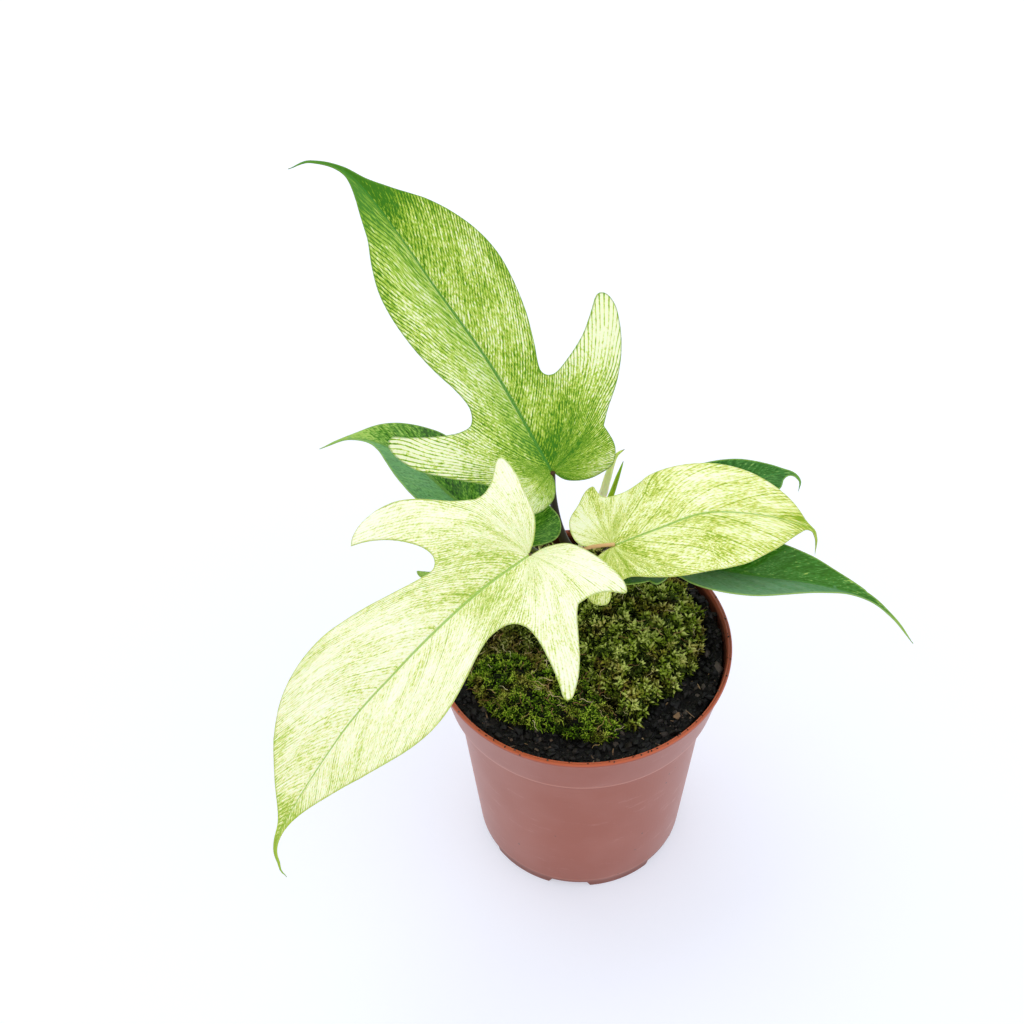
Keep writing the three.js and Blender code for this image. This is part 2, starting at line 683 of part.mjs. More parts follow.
addPiece("pot", potGeometry(), "pot", 0.55);
addPiece("soil", soilGeometry(), "soil", 0.95);
addPiece("stem", stemGeometry(0), "stem", 0.6);
for (const [name, cushion] of Object.entries(CUSHIONS)) {
  addPiece(`moss_cushion_${name}`, cushionGeometry(cushion), cushion.colour, 0.9);
}
for (const [name, leaf] of Object.entries(LEAVES)) {
  addPiece(`petiole_${name}`, petioleGeometry(leaf), leaf.petiole.colour, 0.5);
  addPiece(`blade_${name}`, bladeGeometry(leaf, 0), leaf.colour, 0.45);
}
for (const [name, { colour, route, profile }] of Object.entries(SHOOTS)) {
  const whole = [...profile, [1, STALK.shootTip]];
  addPiece(name, stalk(route, whole, STALK.sides, STALK.shootSteps), colour, 0.5);
}

const part = new THREE.Group();
part.add(pottedPlant);
export default part;
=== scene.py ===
import math
import random
from bisect import bisect_right

import bmesh
import bpy
from mathutils import Matrix, Vector, kdtree, noise


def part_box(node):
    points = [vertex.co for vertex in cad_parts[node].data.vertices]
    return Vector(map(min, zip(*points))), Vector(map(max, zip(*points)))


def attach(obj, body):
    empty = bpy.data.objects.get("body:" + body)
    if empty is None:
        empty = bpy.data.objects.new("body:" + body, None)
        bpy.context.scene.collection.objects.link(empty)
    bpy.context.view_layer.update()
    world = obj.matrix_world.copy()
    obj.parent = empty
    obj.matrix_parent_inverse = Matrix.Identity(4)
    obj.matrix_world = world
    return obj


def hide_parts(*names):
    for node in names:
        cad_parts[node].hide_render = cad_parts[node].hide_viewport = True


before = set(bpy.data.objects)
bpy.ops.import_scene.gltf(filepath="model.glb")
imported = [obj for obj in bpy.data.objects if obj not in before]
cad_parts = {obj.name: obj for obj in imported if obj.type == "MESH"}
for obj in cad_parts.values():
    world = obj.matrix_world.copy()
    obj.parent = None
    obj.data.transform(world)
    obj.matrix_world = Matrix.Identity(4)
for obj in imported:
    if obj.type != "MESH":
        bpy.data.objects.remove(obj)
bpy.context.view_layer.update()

# The pot: a 12 cm nursery pot of terracotta-coloured polypropylene, injection moulded in one piece, with a
# straight collar under a rolled rim, a foot ring with six drainage notches and six holes in its floor.
# Everything is modelled in millimetres from the pot's axis and then set down on that axis in the frame.
MM = 0.001
POT_HEIGHT = 114.0
FOOT_RADIUS = 40.1
FOOT_LIP = 1.0
POT_OUTSIDE = [(FOOT_RADIUS, 0.0), (42.1, 0.0), (42.5, 0.4), (42.5, 3.3), (43.2, 4.0), (51.5, 90.6),
               (51.7, 90.9), (54.5, 90.8), (55.0, 91.3), (59.3, 111.9), (59.9, 112.2), (60.0, 112.6),
               (60.0, 113.6), (59.7, POT_HEIGHT)]
POT_INSIDE = [(59.25, POT_HEIGHT), (59.05, 113.4), (58.85, POT_HEIGHT), (58.5, POT_HEIGHT), (58.3, 113.6),
              (57.9, 112.2), (53.7, 92.2), (50.2, 90.0), (41.9, 5.6), (41.4, 5.2)]
POT_FLOOR = [(0.0, 5.2), (0.0, 3.9), (39.2, 3.9), (39.8, 3.5)]
POT_SIDES = 180
NOTCH_ANGLES = [math.radians(60 * i - 98) for i in range(6)]
NOTCH_HALF_WIDTH = 7.9
NOTCH_HEIGHT = 2.6
DRAIN_ANGLES = [math.radians(60 * i - 68) for i in range(6)]
DRAIN_RADIUS = 4.0
DRAIN_RING = 27.0
DRILL_HEIGHT = 4.5
DRILL_DEPTH = 6

pot_low, pot_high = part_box("pot")
AXIS_X = (pot_low[0] + pot_high[0]) / 2
SET_DOWN = Matrix.Translation((AXIS_X, 0, 0)) @ Matrix.Scale(MM, 4)


def turned(outline, sides):
    """A solid turned round the axis from its outline, as (radius, height) points that close on themselves."""
    shape = bmesh.new()
    ring = [shape.verts.new((radius, 0, height)) for radius, height in outline]
    edges = [shape.edges.new((a, b)) for a, b in zip(ring, ring[1:] + ring[:1]) if a.co.x + b.co.x > 0]
    bmesh.ops.spin(shape, geom=ring + edges, axis=(0, 0, 1), cent=(0, 0, 0), angle=math.tau, steps=sides,
                   use_merge=True)
    bmesh.ops.remove_doubles(shape, verts=shape.verts, dist=1e-4)
    bmesh.ops.recalc_face_normals(shape, faces=shape.faces)
    return shape


def mesh_of(name, shape):
    """The mesh of a finished shape."""
    mesh = bpy.data.meshes.new(name)
    shape.to_mesh(mesh)
    shape.free()
    return mesh


def add_piece(name, shape, material, slot, *nodes):
    """Makes a finished piece of a shape in millimetres, set down, with its material, and hides its CAD nodes.
    The slot is not used.
    """
    shape.transform(SET_DOWN)
    mesh = mesh_of(name, shape)
    mesh.shade_smooth()
    mesh.materials.append(material)
    piece = bpy.data.objects.new(name, mesh)
    bpy.context.scene.collection.objects.link(piece)
    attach(piece, "root")
    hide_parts(*nodes)
    return piece


def linear(code):
    """An sRGB hex colour as the linear colour that a shader takes."""
    values = [int(code[i:i + 2], 16) / 255 for i in (0, 2, 4)]
    return [v / 12.92 if v <= 0.04045 else ((v + 0.055) / 1.055) ** 2.4 for v in values] + [1]


def wire(tree, node, inputs):
    """Gives each input of a node its value, or a link from a socket or from a node's first open output."""
    for socket, value in inputs.items():
        if isinstance(value, bpy.types.Node):
            value = next(output for output in value.outputs if output.enabled)
        if isinstance(value, bpy.types.NodeSocket):
            tree.links.new(value, node.inputs[socket])
        else:
            node.inputs[socket].default_value = value


def add_node(tree, kind, inputs=None, stops=(), **settings):
    """Adds a shader node with its settings, its inputs' values and links, and its ramp's colours."""
    made = tree.nodes.new("ShaderNode" + kind)
    for key, value in settings.items():
        setattr(made, key, value)
    wire(tree, made, inputs or {})
    for index, (place, code) in enumerate(stops):
        elements = made.color_ramp.elements
        stop = elements[index] if index < 2 else elements.new(place)
        stop.position = place
        stop.color = linear(code)
    return made


def new_finish(name, **surface):
    """A material with its shader's constant values set on the shader, as (material, tree, shader)."""
    material = bpy.data.materials.new(name)
    material.use_nodes = True
    tree = material.node_tree
    shader = tree.nodes["Principled BSDF"]
    wire(tree, shader, {key.replace("_", " "): value for key, value in surface.items()})
    return material, tree, shader


pot = turned(POT_OUTSIDE + POT_INSIDE + POT_FLOOR, POT_SIDES)
for vert in pot.verts:
    turn = math.atan2(vert.co.y, vert.co.x)
    off = min(abs(math.remainder(turn - notch, math.tau)) for notch in NOTCH_ANGLES)
    if vert.co.z < FOOT_LIP and off * FOOT_RADIUS < NOTCH_HALF_WIDTH:
        vert.co.z += NOTCH_HEIGHT

# Moulded polypropylene is smooth but soft, so the eye gets a broad satin shine and no sharp reflection. It
# has a painted highlight in a line over the foot and along the collar's lower edge, painted shade in a band
# under the collar, and a darker foot.
plastic, tree, shader = new_finish("terracotta-coloured polypropylene", Roughness=0.34,
                                   Specular_IOR_Level=0.4)
where = add_node(tree, "TexCoord").outputs["Object"]
place = add_node(tree, "SeparateXYZ", {"Vector": where})
height = place.outputs["Z"]
share = add_node(tree, "MapRange", {"Value": height, "From Max": POT_HEIGHT * MM})
# The stops at 0.05 and 0.801 are painted highlights, and those from 0.77 to 0.798 are painted shade under the
# collar.
bands_and_painted_light = add_node(tree, "ValToRGB", {"Fac": share}, stops=[
    (0.0, "7e3a24"), (0.046, "88402a"), (0.05, "b46c54"), (0.056, "9e4c32"), (0.3, "a04c30"),
    (0.735, "9e4e34"), (0.77, "863c26"), (0.798, "863c26"), (0.801, "c27e68"), (0.806, "bc7660"),
    (0.811, "9c4c34"), (0.985, "9e5038"), (0.995, "984a32")])
# Dust lies on it in clouds of 22 mm, and handling has scratched it aslant. Real scratches are hairlines, and
# these are drawn 17 mm long and up to 3.6 mm apart, broad enough to show.
cloud = add_node(tree, "TexNoise", {"Vector": where, "Scale": 1 / (22 * MM), "Detail": 4})
bloom = add_node(tree, "MapRange", {"Value": cloud, "From Min": 0.42, "From Max": 0.8, "To Max": 0.16})
drag = add_node(tree, "Mapping", {"Vector": where, "Rotation": (0.3, 0.5, 0),
                                  "Scale": (1 / (17 * MM), 1 / (17 * MM), 1 / (3.6 * MM))})
scratch = add_node(tree, "TexNoise", {"Vector": drag, "Scale": 1, "Detail": 6, "Roughness": 0.75})
scuff = add_node(tree, "MapRange", {"Value": scratch, "From Min": 0.6, "From Max": 0.74, "To Max": 0.4})
# The lip glows orange at the front, where light comes through it.
lip = add_node(tree, "MapRange", {"Value": height, "From Min": 113 * MM, "From Max": 113.6 * MM})
front = add_node(tree, "MapRange", {"Value": place.outputs["Y"], "From Min": 0, "From Max": -50 * MM,
                                    "To Min": 0.1})
glow = add_node(tree, "Math", {0: lip, 1: front}, operation="MULTIPLY")
# The wall inside is painted dark up to just under the lip. Its faces look towards the axis.
around = add_node(tree, "VectorMath", {0: where, 1: (AXIS_X, 0, 0)}, operation="SUBTRACT")
facing = add_node(tree, "NewGeometry").outputs["True Normal"]
outward = add_node(tree, "VectorMath", {0: around, 1: facing}, operation="DOT_PRODUCT")
inside = add_node(tree, "MapRange", {"Value": outward, "From Min": -20 * MM, "From Max": -30 * MM,
                                     "To Max": 0.8})
under = add_node(tree, "MapRange", {"Value": height, "From Min": 112.6 * MM, "From Max": 111 * MM})
inner_darkening = add_node(tree, "Math", {0: inside, 1: under}, operation="MULTIPLY")
# Grit clings to it in patches of 30 mm, a speck to each 6 mm. Real grit is mostly under 0.3 mm, and these
# specks are 0.8 mm wide, to show.
grit = add_node(tree, "TexVoronoi", {"Vector": where, "Scale": 1 / (6 * MM), "Randomness": 1})
speck = add_node(tree, "MapRange", {"Value": grit, "From Min": 0.085, "From Max": 0.06})
patchy = add_node(tree, "TexNoise", {"Vector": where, "Scale": 1 / (30 * MM), "Detail": 1})
soiled = add_node(tree, "MapRange", {"Value": patchy, "From Min": 0.5, "From Max": 0.56})
specks = add_node(tree, "Math", {0: speck, 1: soiled}, operation="MULTIPLY")
skin = bands_and_painted_light
for part, code in [(bloom, "cc9286"), (scuff, "d8a89a"), (glow, "c05c34"), (inner_darkening, "2c1b15"),
                   (specks, "33211a")]:
    skin = add_node(tree, "Mix", {"Factor": part, "A": skin, "B": linear(code)}, data_type="RGBA")
# The melt has set in faint level ripples, on a real pot about 0.3 mm apart, and 1.1 mm here, to show.
flow = add_node(tree, "Mapping", {"Vector": where, "Scale": (1 / (17 * MM), 1 / (17 * MM), 1 / (1.1 * MM))})
ripples = add_node(tree, "TexNoise", {"Vector": flow, "Scale": 1, "Detail": 2})
relief = add_node(tree, "Bump", {"Height": ripples, "Strength": 0.3, "Distance": 0.2 * MM})
wire(tree, shader, {"Base Color": skin, "Normal": relief})

pot_piece = add_piece("nursery_pot", pot, plastic, "pot", "pot")
drill = bmesh.new()
for angle in DRAIN_ANGLES:
    spot = Matrix.Translation((DRAIN_RING * math.cos(angle), DRAIN_RING * math.sin(angle), DRILL_HEIGHT))
    bmesh.ops.create_cone(drill, cap_ends=True, segments=32, radius1=DRAIN_RADIUS, radius2=DRAIN_RADIUS,
                          depth=DRILL_DEPTH, matrix=SET_DOWN @ spot)
drill_piece = bpy.data.objects.new("drill", mesh_of("drill", drill))
bpy.context.scene.collection.objects.link(drill_piece)
cut = pot_piece.modifiers.new("drainage holes", "BOOLEAN")
cut.object = drill_piece
cut.solver = "EXACT"
whole = bpy.data.meshes.new_from_object(pot_piece.evaluated_get(bpy.context.evaluated_depsgraph_get()))
pot_piece.modifiers.clear()
pot_piece.data = whole
bpy.data.objects.remove(drill_piece)

# The soil: dark peaty potting mix pressed into the pot to 8 mm under the rim, with an uneven crumbly top,
# most of which lies bare in a ring beside the moss. It is banked up against the wall on the right.
SOIL_LEVEL = 106.0
SOIL_REACH = 56.2
SOIL_SIDE = [(0.0, 5.6), (41.0, 5.6), (49.8, 89.8), (53.3, 92.6), (55.8, 104.6), (SOIL_REACH, SOIL_LEVEL)]
SOIL_RINGS = 56
SOIL_SIDES = 200
SOIL_EDGE = 0.5
BANK_START = 45
BANK_WIDTH = 9
LUMP_HEIGHT, LUMP_SIZE = 1.9, 4.2
GRAIN_HEIGHT, GRAIN_SIZE = 1.3, 1.7


def soil_height(x, y):
    """The height of the soil's top: a slow swell and the bank by the wall, with lumps and grains on them."""
    spot = Vector((x, y, 0))
    swell = 0.9 * math.sin(x / 9 + 0.6) * math.cos(y / 11)
    by_wall = max(0, min(1, (spot.length - BANK_START) / BANK_WIDTH)) ** 2
    bank = by_wall * (2.4 + 1.4 * math.cos(math.atan2(y, x) - 0.6))
    lumps = LUMP_HEIGHT * noise.noise(spot / LUMP_SIZE)
    return SOIL_LEVEL + swell + bank + lumps + GRAIN_HEIGHT * noise.noise(spot / GRAIN_SIZE)


soil_top = [(SOIL_REACH * (1 - ring / SOIL_RINGS), SOIL_LEVEL) for ring in range(1, SOIL_RINGS + 1)]
soil = turned(SOIL_SIDE + soil_top, SOIL_SIDES)
for vert in soil.verts:
    if vert.co.z > SOIL_LEVEL - SOIL_EDGE:
        vert.co.z = soil_height(vert.co.x, vert.co.y)

# Damp peat is nearly black and quite matt, so the eye gets a dark, rough ground with small browner crumbs.
# Its grains are 0.1 to 2 mm. The pattern is of 1.6 mm, the coarse ones, because the fine ones don't show.
peat, tree, shader = new_finish("peaty potting mix", Roughness=0.8, Specular_IOR_Level=0.25)
where = add_node(tree, "TexCoord").outputs["Object"]
crumbs = add_node(tree, "TexNoise", {"Vector": where, "Scale": 1 / (1.6 * MM), "Detail": 5})
browns = add_node(tree, "ValToRGB", {"Fac": crumbs}, stops=[
    (0.3, "040404"), (0.55, "100e0d"), (0.68, "231e1c"), (0.8, "3d342e")])
rough = add_node(tree, "Bump", {"Height": crumbs, "Strength": 0.9, "Distance": 0.6 * MM})
wire(tree, shader, {"Base Color": browns, "Normal": rough})
add_piece("potting_soil", soil, peat, "soil", "soil")

# Crumbs and chips lie loose on the soil and a few on the rim: peat and bark of 0.5 to 4 mm, with some pale
# wood slivers and two larger chips near the wall. Each is the same uneven lump, stretched and turned.
draw = random.Random(11)
CRUMB_COUNT = 7000
SLIVER_SHARE = 0.012
RIM_SHARE = 0.012
SMALLEST_CRUMB = 0.24
CRUMB_RANGE = 1.3
RIM_CRUMB_SIZE = 0.28
RIM_CRUMB_HEIGHT = 114.1
RIM_RADII = (58.3, 59.5)
CHIPS = [((12, -44.2), (2.6, 1.3, 0.7), 1.9, 0.68), ((36.5, -33.4), (2.4, 1.2, 0.6), 0.5, 0.83)]
CHIP_LIFT = 0.8


def scatter(shape, template, placings, layer):
    """Adds a copy of a small mesh at each (matrix, tint), and keeps the tint on its points."""
    for matrix, tint in placings:
        template.transform(matrix)
        first = len(shape.verts)
        shape.from_mesh(template)
        shape.verts.ensure_lookup_table()
        for vert in shape.verts[first:]:
            vert[layer] = tint
        template.transform(matrix.inverted())


lump = bmesh.new()
bmesh.ops.create_icosphere(lump, subdivisions=1, radius=1)
for vert in lump.verts:
    vert.co *= 0.6 + 0.8 * draw.random()
lump_mesh = mesh_of("lump", lump)
placings = []
for _ in range(CRUMB_COUNT):
    radius = SOIL_REACH * math.sqrt(draw.random())
    turn = math.tau * draw.random()
    on_rim = draw.random() < RIM_SHARE
    radius = draw.uniform(*RIM_RADII) if on_rim else radius
    x, y = radius * math.cos(turn), radius * math.sin(turn)
    sliver = draw.random() < SLIVER_SHARE
    size = RIM_CRUMB_SIZE if on_rim else SMALLEST_CRUMB + CRUMB_RANGE * draw.random() ** 4
    if sliver:
        scale = Vector((1.2 + 2 * draw.random(), 0.3, 0.2))
    else:
        scale = size * Vector((draw.uniform(1, 2.2), 1, 0.8))
    tilt = Matrix.Rotation(draw.uniform(-0.9, 0.9), 4, "X") @ Matrix.Rotation(draw.uniform(-0.6, 0.6), 4, "Y")
    spin = Matrix.Rotation(math.tau * draw.random(), 4, "Z")
    height = RIM_CRUMB_HEIGHT if on_rim else soil_height(x, y) + 0.25 * size
    spot = Matrix.Translation((x, y, height))
    tint = 0.7 + 0.3 * draw.random() if sliver else 0.75 * draw.random() ** 1.8
    placings.append((spot @ spin @ tilt @ Matrix.Diagonal(scale).to_4x4(), tint))
for (x, y), sizes, turn, tint in CHIPS:
    spot = Matrix.Translation((x, y, soil_height(x, y) + CHIP_LIFT)) @ Matrix.Rotation(turn, 4, "Z")
    placings.append((spot @ Matrix.Diagonal(sizes).to_4x4(), tint))
crumb_shape = bmesh.new()
scatter(crumb_shape, lump_mesh, placings, crumb_shape.verts.layers.float.new("tint"))

# Broken peat and bark have flat, faintly damp faces, so the eye gets small glints among near-black lumps, and
# a few tan and pale ones. Each piece has one tint, from peat through bark to dry wood.
bark, tree, shader = new_finish("peat crumbs and bark chips", Roughness=0.5, Specular_IOR_Level=0.3)
tint = add_node(tree, "Attribute", attribute_name="tint").outputs["Fac"]
browns = add_node(tree, "ValToRGB", {"Fac": tint}, stops=[
    (0.0, "020202"), (0.4, "0e0c0b"), (0.6, "27211d"), (0.7, "564c45"), (0.8, "7a5c40"), (1.0, "a58a68")])
wire(tree, shader, {"Base Color": browns})
crumb_piece = add_piece("soil_crumbs", crumb_shape, bark, "soil")
crumb_piece.data.shade_flat()

# The stem: short, upright and as thick as a pencil, dull olive with a ring-shaped scar at each old leaf, and
# buried at its foot. It leans back a little towards the newest leaf.
STEM_ROUTE = [(4, 17, 80), (3.5, 24, 106), (2, 29, 118), (0, 34.5, 130)]
STEM_FOOT_RADIUS = 4.8
STEM_TAPER = 1.4
STEM_TIP = 0.035
STEM_SCARS = [0.6, 0.68, 0.76, 0.84, 0.92]
SCAR_DEPTH = 0.5
SCAR_WIDTH = 0.012


def smooth_line(points, steps, lead):
    """Points on the Catmull-Rom curve through some points; lead is how far its ends are led on straight."""
    points = [Vector(point) for point in points]
    first = points[0] + lead * (points[0] - points[1])
    last = points[-1] + lead * (points[-1] - points[-2])
    through = [first, *points, last]
    line = []
    for a, b, c, d in zip(through, through[1:], through[2:], through[3:]):
        for step in range(steps):
            t = step / steps
            bend = (c - a) * t + (2 * a - 5 * b + 4 * c - d) * t ** 2 + (3 * b - 3 * c + d - a) * t ** 3
            line.append(b + bend / 2)
    return [*line, points[-1]]


class Route:
    """A smooth line in space that is followed by its length."""

    def __init__(self, points):
        self.line = smooth_line(points, 40, 1)
        self.marks = [0]
        for a, b in zip(self.line, self.line[1:]):
            self.marks.append(self.marks[-1] + (b - a).length)
        self.length = self.marks[-1]

    def at(self, mark):
        """The point at a length from the start, and the direction there."""
        i = min(max(bisect_right(self.marks, mark) - 1, 0), len(self.line) - 2)
        a, b = self.line[i], self.line[i + 1]
        back, ahead = self.line[max(i - 1, 0)], self.line[min(i + 2, len(self.line) - 1)]
        part = (mark - self.marks[i]) / (self.marks[i + 1] - self.marks[i])
        return a.lerp(b, part), (b - back).lerp(ahead - a, part).normalized()


def cut_across(shape, place, normal, merge=0):
    """Cuts all of a shape along a plane and keeps both sides; points nearer than merge count as on it."""
    bmesh.ops.bisect_plane(shape, geom=shape.verts[:] + shape.edges[:] + shape.faces[:], plane_co=place,
                           plane_no=normal, dist=merge)


def stalk(route, thickness, sides, rings):
    """A round stalk along a route; thickness gives its radius at a share of its length and an angle."""
    shape = bmesh.new()
    bmesh.ops.create_cone(shape, cap_ends=True, segments=sides, radius1=1, radius2=1, depth=1,
                          matrix=Matrix.Translation((0, 0, 0.5)))
    for ring in range(1, rings):
        cut_across(shape, (0, 0, ring / rings), (0, 0, 1))
    layer = shape.verts.layers.float_vector.new("along")
    path = Route(route)
    for vert in shape.verts:
        share, angle = vert.co.z, math.atan2(vert.co.y, vert.co.x)
        centre, forward = path.at(share * path.length)
        side = Vector((1, -1, 0)).cross(forward).normalized()
        front = forward.cross(side)
        radius = thickness(share, angle)
        vert[layer] = (share * path.length * MM, angle, share)
        vert.co = centre + radius * (math.cos(angle) * side + math.sin(angle) * front)
    bmesh.ops.recalc_face_normals(shape, faces=shape.faces)
    return shape


def stem_radius(share, angle):
    """Tapered and a little uneven, with raised scars and a rounded top."""
    scars = sum(SCAR_DEPTH * math.exp(-((share - scar) / SCAR_WIDTH) ** 2) for scar in STEM_SCARS)
    uneven = 0.12 * math.sin(3 * angle + 9 * share)
    end = min(1, math.sqrt(max(0, (1 - share) / STEM_TIP)))
    return (STEM_FOOT_RADIUS - STEM_TAPER * share + scars + uneven) * (0.35 + 0.65 * end)


STRIPE_ANGLE = 0.2


def stalk_finish(name, root, middle, top, fleck, end="4a3218", clearness=0.08):
    """Living stalk, grown: a waxy skin over juicy tissue that lets some light through. The eye gets a soft
    shine along a round, faintly striped stalk, whose colour shifts from its foot to its end. The stripes are
    7 mm long and about 0.4 mm wide. Real ones are half as wide, too fine to show."""
    material, tree, shader = new_finish(name, Roughness=0.38, IOR=1.42, Specular_IOR_Level=0.3,
                                        Subsurface_Weight=clearness, Subsurface_Scale=2 * MM,
                                        Subsurface_Radius=(0.7, 1.0, 0.35))
    along = add_node(tree, "Attribute", attribute_name="along").outputs["Vector"]
    share = add_node(tree, "SeparateXYZ", {"Vector": along}).outputs["Z"]
    blend = add_node(tree, "ValToRGB", {"Fac": share}, stops=[
        (0.0, root), (0.5, middle), (0.96, top), (1.0, end)])
    stretch = add_node(tree, "Mapping", {"Vector": along, "Scale": (1 / (7 * MM), 1 / STRIPE_ANGLE, 0)})
    stripes = add_node(tree, "TexNoise", {"Vector": stretch, "Scale": 1, "Detail": 3})
    flecks = add_node(tree, "MapRange", {"Value": stripes, "From Min": 0.5, "From Max": 0.75, "To Max": 0.6})
    mixed = add_node(tree, "Mix", {"Factor": flecks, "A": blend, "B": linear(fleck)}, data_type="RGBA")
    ridges = add_node(tree, "Bump", {"Height": stripes, "Strength": 0.25, "Distance": 0.15 * MM})
    wire(tree, shader, {"Base Color": mixed, "Normal": ridges})
    return material


stem_skin = stalk_finish("olive stem skin", "3a3218", "55501f", "6b6a2c", "8a7a4a")
add_piece("plant_stem", stalk(STEM_ROUTE, stem_radius, 32, 120), stem_skin, "stem", "stem")

# The petioles: one leaf stalk to each leaf, round and smooth, clasping the stem with a widened foot and
# carrying the blade on its thin end. Those of old leaves are brown and green, two are reddish, and the young
# leaf's is a pinkish cream.
PETIOLES = {
    "a": dict(route=[(0.5, 34, 125.5), (-2.6, 34.6, 128.8), (-5, 35.3, 132.8), (-7, 36.6, 138),
                     (-9, 39, 145.5), (-10.6, 42, 156), (-11, 44, 167.6)], foot=2.6, top=1.6, slot="petiole",
              colours=("3c3c12", "2f2a10", "35301a", "4a3a2a")),
    "b": dict(route=[(2.3, 27.5, 115), (-0.7, 21, 125), (-5, 12, 139.5), (-10, 2, 157), (-17, -6, 173),
                     (-21, -10, 179.6)], foot=2.2, top=1.25, slot="petiole",
              colours=("3a3015", "4d5020", "7a6a4a", "a9b46a")),
    "c": dict(route=[(1.5, 30, 121), (-0.8, 24, 133), (-2.5, 16, 149.5), (0.8, 10.6, 159), (6, 8.9, 162.5),
                     (12.5, 8.1, 164.2)], foot=2.0, top=0.75, slot="petiole_pink",
              colours=("8a6a3c", "b98c58", "dcb078", "e6cc98", "d8b478")),
    "d": dict(route=[(2.5, 26.5, 111.5), (-5, 28, 120.5), (-15, 27, 136), (-24, 23, 148.5), (-28, 21, 151.4)],
              foot=2.0, top=1.1, slot="petiole", colours=("3a3015", "4a4a20", "5a6a2a", "7a7a3a")),
    "e": dict(route=[(4, 27, 114), (9.5, 20, 126.5), (15, 10, 142.5), (20, 4, 154.4)], foot=2.1, top=1.1,
              slot="petiole_red", colours=("4a2a18", "6b3320", "7a3a24", "9a5a3a")),
    "f": dict(route=[(2, 30.5, 119), (9, 31, 129.5), (18, 31, 144), (24, 32, 150.9)], foot=2.0, top=1.1,
              slot="petiole_red", colours=("4a2a18", "5a3a20", "5a4a24", "7a5a3a")),
}
SLIM_FROM = 0.6
CHANNEL_DEPTH = 0.12
CHANNEL_HALF_ANGLE = 0.5
for name, petiole in PETIOLES.items():
    foot, top = petiole["foot"], petiole["top"]

    def petiole_radius(share, angle):
        """Widest at the clasping foot, then slim to its end, with a shallow channel along its inner side."""
        slim = math.sin(min(1, share / SLIM_FROM) * math.pi / 2)
        channel = CHANNEL_DEPTH * math.exp(-(angle / CHANNEL_HALF_ANGLE) ** 2)
        return (foot + (top - foot) * slim) * (1 - channel)

    skin = stalk_finish(f"leaf stalk skin {name}", *petiole["colours"])
    add_piece(f"leaf_stalk_{name}", stalk(petiole["route"], petiole_radius, 24, 70), skin,
              petiole["slot"], f"petiole_{name}")

